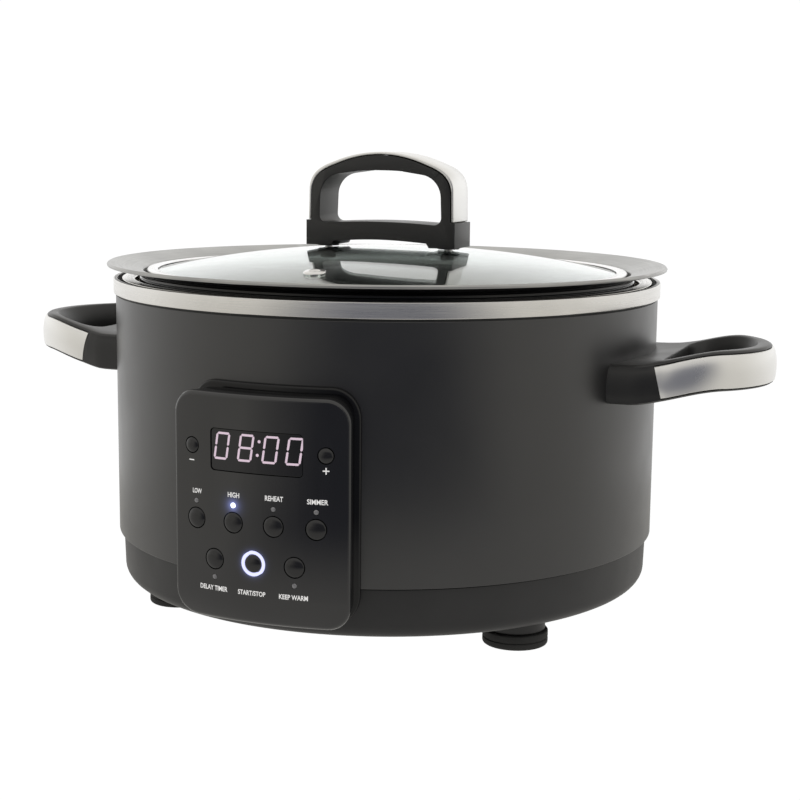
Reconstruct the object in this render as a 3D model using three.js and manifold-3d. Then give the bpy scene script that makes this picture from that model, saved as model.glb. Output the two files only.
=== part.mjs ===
// A round slow cooker in millimetres, +Z up, with the control panel facing -Y and the side handles
// on the X axis. The origin is on the floor under the middle of the body.

import * as THREE from 'three';
import { mergeVertices } from 'three/addons/utils/BufferGeometryUtils.js';
import Module from 'manifold-3d';

const wasm = await Module();
wasm.setup();

// ---- Driving dimensions ------------------------------------------------------------------------

const gap = 0.3;                  // between pieces that touch
const bodySteps = 40;             // facets round the body
const panelSteps = 90;            // facets round the same circle, for the curved panel
const smallSteps = 12;            // facets round buttons and screws

// Body shell, base and feet
const bodyRadius = 150;
const shellHeight = 130.3;
const sheetWall = 1.2;
const footHeight = 16.3;
const trayHeight = 25.9;
const trayInset = 2.5;
const trayWall = 2.2;
const trayFloor = 2.5;
const trayCorner = 7;
const traySpigot = 5;             // how far the tray wall runs up inside the shell
const footCircle = 117;
const footAzimuth = 57;           // degrees from the front, and from the back
const footPadRadius = 17;
const footPadHeight = 7.7;
const footBossRadius = 15.5;
const footStudRadius = 5;
const footStudLength = 5.5;

// Steel band and heating well
const bandShadow = 1;             // dark line between shell and band
const bandHeight = 8.1;
const bandProud = 1.2;
const bandLip = 2.2;
const bandShelf = 6;
const bandEdge = 0.5;
const shelfDrop = 1.7;            // the shelf under the gasket, below the top of the band
const skirtPlay = 0.6;            // between the shell and the band's skirt
const flangeStep = 1.6;           // between the skirt and the well's flange
const wellClearance = 10.5;       // from the body's outer face to the well's mouth
const wellWall = 1.4;
const wellNeckDepth = 9;
const wellTaper = 7;
const wellCorner = 8;

// Pan
const panFloorHeight = 58;
const panWall = 3;
const panNeckClearance = 2.5;
const panNeckHeight = 7;
const panSideStep = 8;            // ledge that the lid rests on
const panDraft = 4.6;
const panCorner = 14;
const rimOverhang = 4.7;
const rimHeight = 8.4;            // rim edge above the band
const rimEdge = 1.9;
const rimRound = 0.4;
const ledgeDrop = 1.6;            // ledge below the top of the band
const neckFlare = 2;              // how far the neck opens under the rim
const seatRound = 1;
const rimFall = 4;                // how far the rim drops towards the lid

// Lid
const lidClearance = 1;
const lidRingHeight = 6.1;
const lidRingWall = 2;
const lidRingLip = 6;
const lidRingSheet = 0.7;
const lidRingEdge = 0.6;
const glassPlay = 1.2;            // between the glass and the wall of its ring
const glassSink = 1;              // edge of the glass below the ring's top sheet
const glassThickness = 3.5;
const domeRise = 13.5;
const ventRadius = 100;
const ventFlange = 6;
const ventBarrel = 3.2;
const ventBore = 1.9;
const ventSheet = 0.8;

// Lid handle
const gripHalfLength = 43.9;
const gripWidth = 26;
const gripTop = 51.6;             // above the foot of the handle
const gripRise = 0.6;             // foot of the handle above the top of the glass
const gripBlockTop = 14;
const gripBarBottom = 2.4;
const gripBarTop = 12.6;
const gripOpeningHalf = 36.1;
const gripOpeningTop = 41.4;
const gripTrim = 1.5;
const gripTrimStep = 1;           // the trim's outer face behind the block's outer face
const gripTrimWidth = 24.6;
const gripScrewOffset = 36;
const gripScrewReach = 9;
const screwRadius = 2;
const screwHeadRadius = 4.5;
const screwHeadHeight = 2.5;
const sealRadius = 5.2;
const sealThickness = 0.55;

// Side handles
const handleRootHalf = 54;
const handleNoseHalf = 51.5;
const handleNoseStart = 17;       // nose ellipse centre beyond the body radius
const handleNoseReach = 48.5;
const handleThickness = 14;
const handleHeight = 20.2;
const handleRise = 83.9;          // underside of the root above the seam
const handleLift = 8;             // how much higher the nose is than the root
const handleLiftEnd = 46;         // where the nose is level again, beyond the body radius
const handleLevel = 6;            // level stretch of the root beyond the body
const handleWeb = 15;             // solid root between the body and the finger opening
const trimThickness = 1.6;
const trimProud = 0.5;
const trimMargin = 1.2;
const trimStart = 13.5;           // beyond the body radius
const boltOffset = 44;
const boltHeadInset = 10;         // inside the body radius
const boltHeadHeight = 3;
const boltReach = 15;

// Control panel
const podDepth = 15.4;
const podWall = 2.5;
const fasciaThickness = 2.6;
const fasciaWidth = 94.5;         // along the arc
const fasciaHeight = 112;
const fasciaBottom = 25.9;
const fasciaCorner = 12;
const displayWidth = 48.6;        // along the arc
const displayHeight = 20.7;
const displayMiddle = 84.6;       // above the bottom of the fascia
const lensRecess = 0.4;
const moduleDepth = 6.2;
const buttonPitch = 21.2;         // along the arc
const buttonShift = -1.1;         // middle of the button rows from the middle of the panel
const adjustOffset = 35.3;        // minus and plus, from the middle
const adjustMiddle = 85.3;
const upperRow = 49.8;
const lowerRow = 30.8;
const upperLights = 58.2;
const lowerLights = 21.9;
const buttonRadius = 4.9;
const adjustRadius = 3.7;
const startRadius = 4.4;
const buttonDome = 1.2;
const buttonTravel = 0.8;
const buttonFlange = 1;           // thickness, and how far it is wider than the cap
const domeShoulder = 0.75;        // where the dome turns down, as part of its radius
const domeShoulderRise = 0.6;     // and as part of its height
const switchRoom = 6.4;           // between a pressed button's flange and the board
const wireHoleSize = 24;
const startRingWidth = 1.4;
const lightRadius = 1.2;
const boardThickness = 1.6;
const boardMargin = 8;

// Inside the body
const heaterHeight = 30;
const heaterThickness = 2.5;
const heaterRise = 12;
const fuseSize = [6, 14, 6];
const sensorRadius = 12;
const sensorDisc = 3;
const sensorStem = 5;
const sensorTravel = 2;
const bracketRadius = 19;
const bracketWall = 1;
const bracketDepth = 19;
const sensorFootRoom = 2;         // under the stem of the pressed sensor
const springRadius = 8;
const springWire = 0.6;
const springTurns = 5;
const powerBoardSize = [80, 50];
const powerBoardBack = 72;
const standoffHeight = 5;
const standoffRadius = 3;
const standoffInset = 5;          // from the board's edges
const relaySize = [19, 15.5, 15];

// Mains inlet on the back
const inletWidth = 29.6;
const inletHeight = 21.6;
const inletMiddle = 44;           // above the seam
const inletDepth = 24;
const inletProud = 18.6;          // beyond the body radius
const socketWidth = 24.4;
const socketHeight = 16.8;
const socketDepth = 15;
const inletFrame = 9;
const pinSize = [2, 18, 4];
const pinSpacing = 7;
const pinRise = 2;

// ---- Heights and radii worked out from the driving dimensions ----------------------------------

const seamHeight = footHeight + trayHeight;
const shellTop = seamHeight + shellHeight;
const bandBottom = shellTop + bandShadow;
const bandTop = bandBottom + bandHeight;
const shellInner = bodyRadius - sheetWall;
const trayRadius = bodyRadius - trayInset;
const wellMouth = bodyRadius - wellClearance;
const neckRadius = wellMouth - panNeckClearance;
const seatRadius = neckRadius - panWall;
const bowlRadius = seatRadius - panSideStep;
const rimTop = bandTop + rimHeight;
const ledgeHeight = bandTop - ledgeDrop;
const wellFloorTop = panFloorHeight - gap;
const wellRadius = bowlRadius + panWall + panNeckClearance;
const lidRadius = seatRadius - lidClearance;
const lidBottom = ledgeHeight + gap;
const lidRingTop = lidBottom + lidRingHeight;
const glassEdge = lidRadius - lidRingWall - glassPlay;
const domeRadius = (glassEdge ** 2 + domeRise ** 2) / (2 * domeRise);
const glassTop = lidRingTop - lidRingSheet - glassSink + domeRise;
const gripBase = glassTop + gripRise;
const fasciaRadius = bodyRadius + gap + podDepth + gap + fasciaThickness;
const fasciaInner = fasciaRadius - fasciaThickness;
const podInner = bodyRadius + gap;
const boardFront = fasciaInner - gap - buttonFlange - buttonTravel - switchRoom;
const handleBottom = seamHeight + handleRise;
const inletBack = bodyRadius + inletProud;

// ---- Helpers -----------------------------------------------------------------------------------

const degrees = (angle) => angle * Math.PI / 180;
const panelAngle = (arc) => arc / fasciaRadius;

function toSolid(source) {
  const bare = source.clone();
  bare.deleteAttribute('normal');
  bare.deleteAttribute('uv');
  const merged = mergeVertices(bare, 1e-4);
  const corners = merged.getIndex().array;
  const kept = [];
  for (let i = 0; i < corners.length; i += 3) {
    const [a, b, c] = corners.slice(i, i + 3);
    if (a !== b && b !== c && c !== a) kept.push(a, b, c);
  }
  return new wasm.Manifold(new wasm.Mesh({
    numProp: 3,
    vertProperties: new Float32Array(merged.getAttribute('position').array),
    triVerts: new Uint32Array(kept),
  }));
}

function toGeometry(solid) {
  const mesh = solid.getMesh();
  const geometry = new THREE.BufferGeometry();
  geometry.setAttribute('position', new THREE.BufferAttribute(mesh.vertProperties, 3));
  geometry.setIndex(new THREE.BufferAttribute(mesh.triVerts, 1));
  return geometry;
}

function cut(base, ...tools) {
  return toGeometry(tools.reduce((solid, tool) => solid.subtract(toSolid(tool)), toSolid(base)));
}

function join(base, ...others) {
  return toGeometry(others.reduce((solid, other) => solid.add(toSolid(other)), toSolid(base)));
}

function common(base, other) {
  return toGeometry(toSolid(base).intersect(toSolid(other)));
}

// A solid of revolution about Z from [radius, height] points in anticlockwise order.
function turned(profile, steps = bodySteps) {
  const points = profile.map(([radius, height]) => new THREE.Vector2(radius, height));
  const onAxis = points[0].x === 0 && points.at(-1).x === 0;
  if (!onAxis) points.push(points[0].clone());
  return new THREE.LatheGeometry(points, steps).rotateX(Math.PI / 2);
}

function disc(radius, bottom, top, steps = smallSteps) {
  return turned([[0, bottom], [radius, bottom], [radius, top], [0, top]], steps);
}

function hoop(inner, outer, bottom, top, steps = bodySteps) {
  return turned([[inner, bottom], [outer, bottom], [outer, top], [inner, top]], steps);
}

function block(width, depth, height) {
  return new THREE.BoxGeometry(width, depth, height);
}

// Points on a round corner of a profile, from one angle to another in degrees.
function cornerPoints(centre, radius, from, to, count = 3) {
  return Array.from({ length: count + 1 }, (_, i) => {
    const angle = degrees(from + (to - from) * i / count);
    return [centre[0] + radius * Math.cos(angle), centre[1] + radius * Math.sin(angle)];
  });
}

function roundedRectangle(left, bottom, right, top, corner) {
  const shape = new THREE.Shape();
  shape.moveTo(left + corner, bottom);
  shape.lineTo(right - corner, bottom);
  shape.absarc(right - corner, bottom + corner, corner, -Math.PI / 2, 0);
  shape.lineTo(right, top - corner);
  shape.absarc(right - corner, top - corner, corner, 0, Math.PI / 2);
  shape.lineTo(left + corner, top);
  shape.absarc(left + corner, top - corner, corner, Math.PI / 2, Math.PI);
  shape.lineTo(left, bottom + corner);
  shape.absarc(left + corner, bottom + corner, corner, Math.PI, 1.5 * Math.PI);
  return shape;
}

// A shape drawn in X and Z, pushed along Y from one value to another.
function pushedAlongY(shape, from, to, curveSegments = 2) {
  const depth = to - from;
  const geometry = new THREE.ExtrudeGeometry(shape, { depth, bevelEnabled: false, curveSegments });
  return geometry.rotateX(Math.PI / 2).translate(0, to, 0);
}

// A rod whose axis is a radius of the body, at an arc angle from the front and a height.
function radialRod(geometry, angle, height) {
  return geometry.rotateX(Math.PI / 2).rotateZ(angle).translate(0, 0, height);
}

function polar(radius, azimuth) {
  return [radius * Math.sin(degrees(azimuth)), -radius * Math.cos(degrees(azimuth))];
}

// ---- Materials and the group -------------------------------------------------------------------

const finishes = {
  paint: { color: 0x3b3a3b, roughness: 0.55, metalness: 0.2 },
  steel: { color: 0xc9c6c0, roughness: 0.3, metalness: 1 },
  chrome: { color: 0xe0deda, roughness: 0.08, metalness: 1 },
  blackPlastic: { color: 0x1c1c1d, roughness: 0.5, metalness: 0 },
  glossBlack: { color: 0x050506, roughness: 0.06, metalness: 0 },
  rubber: { color: 0x141414, roughness: 0.85, metalness: 0 },
  aluminium: { color: 0x8d8f91, roughness: 0.45, metalness: 1 },
  panCoat: { color: 0x4c4b4a, roughness: 0.35, metalness: 0.6 },
  glass: { color: 0xd5dcd8, roughness: 0.03, metalness: 0, transparent: true, opacity: 0.35 },
  light: { color: 0xcfd8ff, roughness: 0.3, metalness: 0, emissive: 0xaab8ff },
  board: { color: 0x1f5a33, roughness: 0.6, metalness: 0 },
  brass: { color: 0xb08d4a, roughness: 0.35, metalness: 1 },
};

const slowCooker = new THREE.Group();

function place(name, finish, geometry, angle = 0, height = 0) {
  const mesh = new THREE.Mesh(geometry, new THREE.MeshStandardMaterial(finishes[finish]));
  mesh.name = name;
  mesh.rotation.z = angle;
  mesh.position.z = height;
  slowCooker.add(mesh);
  return mesh;
}

// ---- Outer shell, base and feet ----------------------------------------------------------------

const inletZ = seamHeight + inletMiddle;
const boltZ = handleBottom + handleHeight / 2;
const footPlaces = {
  front_right: footAzimuth,
  rear_right: 180 - footAzimuth,
  rear_left: 180 + footAzimuth,
  front_left: -footAzimuth,
};

function boltHole(side, row, radius) {
  const rod = disc(radius, bodyRadius - 30, bodyRadius + 30).rotateY(side * Math.PI / 2);
  return rod.translate(0, row * boltOffset, boltZ);
}

function outerShell() {
  const wall = hoop(shellInner, bodyRadius, seamHeight + gap, shellTop);
  const wireHole = block(wireHoleSize, 40, wireHoleSize)
    .translate(0, -bodyRadius, fasciaBottom + displayMiddle);
  const inletHole = block(inletWidth + 2 * gap, 60, inletHeight + 2 * gap)
    .translate(0, bodyRadius, inletZ);
  const bolts = [1, -1].flatMap((side) => [1, -1].map(
    (row) => boltHole(side, row, screwRadius + gap)));
  return cut(wall, wireHole, inletHole, ...bolts);
}
place('outer_shell', 'paint', outerShell());

function baseTray() {
  const floorTop = footHeight + trayFloor;
  const wallInner = trayRadius - trayWall;
  const cup = turned([
    [0, footHeight],
    ...cornerPoints([trayRadius - trayCorner, footHeight + trayCorner], trayCorner, -90, 0),
    [trayRadius, seamHeight + traySpigot],
    [wallInner, seamHeight + traySpigot],
    [wallInner, floorTop + trayCorner],
    [wallInner - trayCorner, floorTop],
    [0, floorTop],
  ]);
  const bosses = Object.values(footPlaces).map((azimuth) => disc(
    footBossRadius, footPadHeight + gap, footHeight + 1,
  ).translate(...polar(footCircle, azimuth), 0));
  const sockets = Object.values(footPlaces).map((azimuth) => disc(
    footStudRadius + gap, 0, footPadHeight + footStudLength + gap,
  ).translate(...polar(footCircle, azimuth), 0));
  const standoffs = [-1, 1].flatMap((column) => [-1, 1].map((row) => disc(
    standoffRadius, floorTop - 1, floorTop + standoffHeight, 8,
  ).translate(
    column * (powerBoardSize[0] / 2 - standoffInset),
    powerBoardBack + row * (powerBoardSize[1] / 2 - standoffInset),
    0,
  )));
  return cut(join(cup, ...bosses, ...standoffs), ...sockets);
}
place('base_tray', 'blackPlastic', baseTray());

function footPad() {
  const bevel = 1.2;
  return turned([
    [0, 0],
    [footPadRadius - bevel, 0],
    [footPadRadius, bevel],
    [footPadRadius, footPadHeight],
    [footStudRadius, footPadHeight],
    [footStudRadius, footPadHeight + footStudLength],
    [0, footPadHeight + footStudLength],
  ], 20);
}
for (const [name, azimuth] of Object.entries(footPlaces)) {
  const pad = place(`foot_pad_${name}`, 'rubber', footPad());
  pad.position.set(...polar(footCircle, azimuth), 0);
}

// ---- Steel band, gasket and heating well -------------------------------------------------------

const shelfTop = bandTop - shelfDrop;
const bandOuter = bodyRadius + bandProud;
const bandSkirt = shellInner - skirtPlay;
const flangeOuter = bandSkirt - flangeStep;

function steelBand() {
  return turned([
    [bandSkirt - sheetWall, shellTop - 7],
    [bandSkirt, shellTop - 7],
    [bandSkirt, bandBottom],
    [bandOuter, bandBottom],
    [bandOuter, bandTop - bandEdge],
    [bandOuter - bandEdge, bandTop],
    [bandOuter - bandLip, bandTop],
    [bandOuter - bandLip, shelfTop],
    [bandSkirt - bandShelf, shelfTop],
    [bandSkirt - bandShelf, shelfTop - sheetWall],
    [bandSkirt - sheetWall, shelfTop - sheetWall],
  ]);
}
place('steel_band', 'steel', steelBand());
place('rim_gasket', 'rubber', hoop(
  flangeOuter + gap, bandOuter - bandLip - gap, shelfTop + gap, bandTop - gap));

const wellFloorHole = sensorRadius + 1;
const wellNeckBottom = bandTop - wellNeckDepth;

function heatingWell() {
  const floorBottom = wellFloorTop - wellWall;
  const corner = wellCorner;
  return turned([
    [wellFloorHole, floorBottom],
    ...cornerPoints([wellRadius - corner, floorBottom + corner], corner + wellWall, -90, 0),
    [wellRadius + wellWall, wellNeckBottom - wellTaper],
    [wellMouth + wellWall, wellNeckBottom],
    [wellMouth + wellWall, shelfTop + gap],
    [flangeOuter, shelfTop + gap],
    [flangeOuter, bandTop],
    [wellMouth, bandTop],
    [wellMouth, wellNeckBottom],
    [wellRadius, wellNeckBottom - wellTaper],
    ...cornerPoints([wellRadius - corner, floorBottom + corner + wellWall], corner, 0, -90),
    [wellFloorHole, wellFloorTop],
  ]);
}
place('heating_well', 'aluminium', heatingWell());

const heaterInner = wellRadius + wellWall + 2 * gap;
const heaterBottom = wellFloorTop + heaterRise;
place('heater_band', 'aluminium', hoop(
  heaterInner, heaterInner + heaterThickness, heaterBottom, heaterBottom + heaterHeight));

const fuse = place('thermal_fuse', 'steel', block(...fuseSize));
const fuseRadius = heaterInner + heaterThickness + gap + fuseSize[0] / 2;
fuse.position.set(fuseRadius, 0, heaterBottom + heaterHeight / 2);

// ---- Pot sensor under the pan ------------------------------------------------------------------

const bracketTop = wellFloorTop - wellWall - gap;
const bracketBottom = bracketTop - bracketDepth;
const sensorUnder = wellFloorTop - sensorDisc;

place('sensor_bracket', 'steel', turned([
  [0, bracketBottom],
  [bracketRadius, bracketBottom],
  [bracketRadius, bracketTop],
  [bracketRadius - bracketWall, bracketTop],
  [bracketRadius - bracketWall, bracketBottom + bracketWall],
  [0, bracketBottom + bracketWall],
], 24));

place('pot_sensor', 'aluminium', turned([
  [0, bracketBottom + bracketWall + sensorTravel + sensorFootRoom],
  [sensorStem, bracketBottom + bracketWall + sensorTravel + sensorFootRoom],
  [sensorStem, sensorUnder],
  [sensorRadius, sensorUnder],
  [sensorRadius, wellFloorTop],
  [0, wellFloorTop],
], 24));

function sensorSpring() {
  const low = bracketBottom + bracketWall + springWire + gap;
  const high = sensorUnder - springWire - gap;
  class Coil extends THREE.Curve {
    getPoint(t, target = new THREE.Vector3()) {
      const angle = 2 * Math.PI * springTurns * t;
      const height = low + (high - low) * t;
      return target.set(springRadius * Math.cos(angle), springRadius * Math.sin(angle), height);
    }
  }
  const wire = new THREE.Shape().absarc(0, 0, springWire, 0, 2 * Math.PI);
  return new THREE.ExtrudeGeometry(wire, {
    steps: 8 * springTurns, curveSegments: 2, extrudePath: new Coil(),
  });
}
place('sensor_spring', 'steel', sensorSpring());

// ---- Power board -------------------------------------------------------------------------------

const powerBoardZ = footHeight + trayFloor + standoffHeight + gap + boardThickness / 2;
const powerBoard = place('power_board', 'board', block(...powerBoardSize, boardThickness));
powerBoard.position.set(0, powerBoardBack, powerBoardZ);
const relay = place('heater_relay', 'blackPlastic', block(...relaySize));
relay.position.set(
  -powerBoardSize[0] / 4, powerBoardBack, powerBoardZ + boardThickness / 2 + gap + relaySize[2] / 2);

// ---- Pan ---------------------------------------------------------------------------------------

function panBody() {
  const floorTop = panFloorHeight + panWall;
  const wallOuter = bowlRadius + panWall;
  const footRadius = wallOuter - panDraft;
  const shoulder = ledgeHeight - panWall;
  const rimOuter = bodyRadius + rimOverhang;
  const seatTop = rimTop - rimFall;
  return turned([
    [0, panFloorHeight],
    ...cornerPoints(
      [footRadius - panCorner, panFloorHeight + panCorner], panCorner, -90, 0, 4),
    [wallOuter, shoulder - panSideStep / 2],
    [neckRadius, shoulder],
    [neckRadius, shoulder + panNeckHeight],
    [neckRadius + neckFlare, seatTop - rimEdge + rimRound],
    [rimOuter, rimTop - rimEdge],
    [rimOuter, rimTop - rimRound],
    [rimOuter - rimRound, rimTop],
    [seatRadius + seatRound, seatTop],
    [seatRadius, seatTop - seatRound],
    [seatRadius, ledgeHeight],
    [bowlRadius, ledgeHeight],
    ...cornerPoints(
      [footRadius - panCorner, floorTop + panCorner - panWall], panCorner - panWall, 0, -90, 4),
    [0, floorTop],
  ]);
}
place('pan', 'panCoat', panBody());

// ---- Lid ---------------------------------------------------------------------------------------

const glassCentre = glassTop - domeRadius;
const glassHeight = (radius) => glassCentre + Math.sqrt(domeRadius ** 2 - radius ** 2);
const underHeight = (radius) => glassHeight(radius) - glassThickness;
const ventTilt = Math.asin(ventRadius / domeRadius);

function lidGlass() {
  const rings = 4;
  const radii = Array.from({ length: rings + 1 }, (_, i) => glassEdge * i / rings);
  const under = radii.map((radius) => [radius, underHeight(radius)]);
  const over = radii.map((radius) => [radius, glassHeight(radius)]).reverse();
  const screwHoles = [-1, 1].map((side) => disc(
    screwRadius + gap, glassTop - 20, glassTop + 20, 12).translate(side * gripScrewOffset, 0, 0));
  const ventHole = disc(ventBarrel + gap, -20, 20)
    .rotateX(ventTilt).translate(0, -ventRadius, glassHeight(ventRadius));
  return cut(turned([...under, ...over]), ...screwHoles, ventHole);
}
place('lid_glass', 'glass', lidGlass());

function lidRing() {
  const wallInner = lidRadius - lidRingWall;
  const lipInner = lidRadius - lidRingLip;
  return turned([
    [lipInner, lidBottom],
    [lidRadius, lidBottom],
    [lidRadius, lidRingTop - lidRingEdge],
    [lidRadius - lidRingEdge, lidRingTop],
    [lipInner, lidRingTop],
    [lipInner, lidRingTop - lidRingSheet],
    [wallInner, lidRingTop - lidRingSheet],
    [wallInner, lidBottom + lidRingSheet],
    [lipInner, lidBottom + lidRingSheet],
  ]);
}
place('lid_ring', 'steel', lidRing());

function ventEyelet() {
  const lower = -glassThickness - 2 * gap;
  return turned([
    [ventBore, lower - ventSheet],
    [ventFlange - 1, lower - ventSheet],
    [ventFlange - 1, lower],
    [ventBarrel, lower],
    [ventBarrel, gap],
    [ventFlange, gap],
    [ventFlange, gap + ventSheet],
    [ventBore, gap + ventSheet],
  ], smallSteps);
}
const vent = place('vent_eyelet', 'steel', ventEyelet());
vent.rotation.x = ventTilt;
vent.position.set(0, -ventRadius, glassHeight(ventRadius));

// The outer outline of the loop from a height upwards, drawn inside the trim by an inset.
function gripLoop(inset, low) {
  const half = gripHalfLength - gripTrimStep - inset;
  const top = gripTop - inset;
  const loop = new THREE.Shape();
  loop.moveTo(half, low);
  loop.lineTo(half - 0.3, top - 20);
  loop.bezierCurveTo(half - 1, top - 11, half - 8, top - 8, half - 15, top - 5.5);
  loop.quadraticCurveTo(0, top + 5.5, -half + 15, top - 5.5);
  loop.bezierCurveTo(-half + 8, top - 8, -half + 1, top - 11, -half + 0.3, top - 20);
  loop.lineTo(-half, low);
  return loop;
}

function gripOpening() {
  const half = gripOpeningHalf;
  const opening = new THREE.Shape();
  opening.moveTo(-half + 2, gripBarTop);
  opening.lineTo(half - 2, gripBarTop);
  opening.quadraticCurveTo(half, gripBarTop, half, gripBarTop + 3);
  opening.lineTo(half - 1, gripOpeningTop - 15);
  opening.quadraticCurveTo(half - 2, gripOpeningTop - 5, half - 12, gripOpeningTop - 3);
  opening.quadraticCurveTo(0, gripOpeningTop + 3, -half + 12, gripOpeningTop - 3);
  opening.quadraticCurveTo(-half + 2, gripOpeningTop - 5, -half + 1, gripOpeningTop - 15);
  opening.lineTo(-half, gripBarTop + 3);
  opening.quadraticCurveTo(-half, gripBarTop, -half + 2, gripBarTop);
  return opening;
}

const acrossGrip = (shape, width) => pushedAlongY(shape, -width / 2, width / 2, 4);

function lidHandle() {
  const core = gripLoop(gripTrim + gap, gripBarTop);
  const foot = roundedRectangle(-gripHalfLength, 0, gripHalfLength, gripBlockTop - gap, 2);
  const underBar = roundedRectangle(
    -gripOpeningHalf + 4, -10, gripOpeningHalf - 4, gripBarBottom, 2);
  const body = join(acrossGrip(core, gripWidth), acrossGrip(foot, gripWidth));
  const screwHoles = [-1, 1].map((side) => disc(screwRadius + gap, -5, gripScrewReach + gap, 12)
    .translate(side * gripScrewOffset, 0, 0));
  return cut(
    body,
    acrossGrip(gripOpening(), 2 * gripWidth),
    cutBetweenScrews(acrossGrip(underBar, 2 * gripWidth)),
    ...screwHoles,
  );
}

function cutBetweenScrews(geometry) {
  return common(geometry, block(2 * (gripScrewOffset - sealRadius - 1), 100, 100));
}

function lidHandleTrim() {
  return cut(
    acrossGrip(gripLoop(0, gripBlockTop), gripTrimWidth),
    acrossGrip(gripLoop(gripTrim, 0), 2 * gripTrimWidth),
  );
}

place('lid_handle', 'blackPlastic', lidHandle(), 0, gripBase);
place('lid_handle_trim', 'chrome', lidHandleTrim(), 0, gripBase);

const sealBottom = gripBase - gap - sealThickness;
const screwHeadTop = underHeight(gripScrewOffset + screwHeadRadius) - gap;
const screwShape = turned([
  [0, screwHeadTop - screwHeadHeight],
  [screwHeadRadius, screwHeadTop - screwHeadHeight],
  [screwHeadRadius, screwHeadTop],
  [screwRadius, screwHeadTop],
  [screwRadius, gripBase + gripScrewReach],
  [0, gripBase + gripScrewReach],
], 12);
const sealShape = hoop(
  screwRadius + gap, sealRadius, sealBottom, sealBottom + sealThickness, smallSteps);
for (const [name, side] of [['left', -1], ['right', 1]]) {
  const screw = place(`lid_handle_screw_${name}`, 'steel', screwShape.clone());
  const seal = place(`lid_handle_seal_${name}`, 'rubber', sealShape.clone());
  screw.position.x = side * gripScrewOffset;
  seal.position.x = side * gripScrewOffset;
}

// ---- Side handles ------------------------------------------------------------------------------

const levelEnd = bodyRadius + handleLevel;
const noseStart = bodyRadius + handleNoseStart;

// Plan outline of the handle on +X: straight legs from rootX, then an elliptical nose.
function handlePlan(inset, rootX) {
  const along = Math.max(0, rootX - levelEnd) / (noseStart - levelEnd);
  const rootHalf = THREE.MathUtils.lerp(handleRootHalf, handleNoseHalf, along) - inset;
  const corners = [[rootX, rootHalf]];
  if (rootX < levelEnd) corners.push([levelEnd, handleRootHalf - inset]);
  const plan = new THREE.Shape();
  plan.moveTo(rootX, -rootHalf);
  corners.slice(1).forEach(([x, half]) => plan.lineTo(x, -half));
  plan.absellipse(
    noseStart, 0, handleNoseReach - inset, handleNoseHalf - inset, -Math.PI / 2, Math.PI / 2);
  corners.reverse().forEach(([x, half]) => plan.lineTo(x, half));
  return plan;
}

function fingerPlan() {
  const corner = 7;
  const half = handleNoseHalf - handleThickness - 1;
  const left = bodyRadius + handleWeb;
  const curveStart = left + corner + 1;
  const plan = new THREE.Shape();
  plan.moveTo(left + corner, -half);
  plan.absellipse(
    curveStart, 0, noseStart + handleNoseReach - handleThickness - curveStart, half,
    -Math.PI / 2, Math.PI / 2);
  plan.lineTo(left + corner, half);
  plan.absarc(left + corner, half - corner, corner, Math.PI / 2, Math.PI);
  plan.lineTo(left, -half + corner);
  plan.absarc(left + corner, -half + corner, corner, Math.PI, 1.5 * Math.PI);
  return plan;
}

function upright(plan, bottom, top, curveSegments = 8) {
  const depth = top - bottom;
  const geometry = new THREE.ExtrudeGeometry(plan, { depth, bevelEnabled: false, curveSegments });
  return geometry.translate(0, 0, bottom);
}

// The handle rises smoothly from the body out to a level nose.
function lifted(geometry) {
  const points = geometry.getAttribute('position');
  for (let i = 0; i < points.count; i += 1) {
    const rise = THREE.MathUtils.smoothstep(points.getX(i), bodyRadius, bodyRadius + handleLiftEnd);
    points.setZ(i, points.getZ(i) + handleLift * rise);
  }
  return geometry;
}

const trimLow = trimMargin;
const trimHigh = handleHeight - trimMargin;
const trimRoot = bodyRadius + trimStart;
const bodyClearance = disc(bodyRadius + gap, -60, 60, bodySteps);

function sideHandle() {
  const outline = upright(handlePlan(0, bodyRadius - 25), 0, handleHeight);
  const recess = cut(
    upright(handlePlan(-10, trimRoot - gap), trimLow - 2 * gap, trimHigh + 2 * gap),
    upright(handlePlan(trimThickness + gap - trimProud, bodyRadius - 40), -50, 100),
  );
  const finger = upright(fingerPlan(), -50, 100);
  const bolts = [1, -1].map((row) => disc(screwRadius + gap, 0, bodyRadius + boltReach + gap)
    .rotateY(Math.PI / 2).translate(0, row * boltOffset, handleHeight / 2));
  return cut(lifted(cut(outline, finger, recess)), bodyClearance, ...bolts);
}

function handleTrim() {
  const strip = cut(
    upright(handlePlan(-trimProud, trimRoot), trimLow, trimHigh),
    upright(handlePlan(trimThickness - trimProud, bodyRadius - 40), -50, 100),
  );
  return lifted(strip);
}

const handleShape = sideHandle();
const trimShape = handleTrim();
const boltHeadTop = bodyRadius - boltHeadInset;
const boltShape = turned([
  [0, boltHeadTop - boltHeadHeight],
  [screwHeadRadius, boltHeadTop - boltHeadHeight],
  [screwHeadRadius, boltHeadTop],
  [screwRadius, boltHeadTop],
  [screwRadius, bodyRadius + boltReach],
  [0, bodyRadius + boltReach],
], 12).rotateY(Math.PI / 2);

for (const [name, side] of [['right', 1], ['left', -1]]) {
  const turn = side > 0 ? 0 : Math.PI;
  place(`side_handle_${name}`, 'blackPlastic', handleShape.clone(), turn, handleBottom);
  place(`handle_trim_${name}`, 'chrome', trimShape.clone(), turn, handleBottom);
  for (const [row, offset] of [['front', -boltOffset], ['rear', boltOffset]]) {
    const bolt = place(`handle_bolt_${name}_${row}`, 'steel', boltShape.clone(), turn, boltZ);
    bolt.position.y = offset;
  }
}

// ---- Control panel -----------------------------------------------------------------------------

const fasciaHalf = fasciaRadius * Math.sin(panelAngle(fasciaWidth / 2));
const fasciaTop = fasciaBottom + fasciaHeight;

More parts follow.
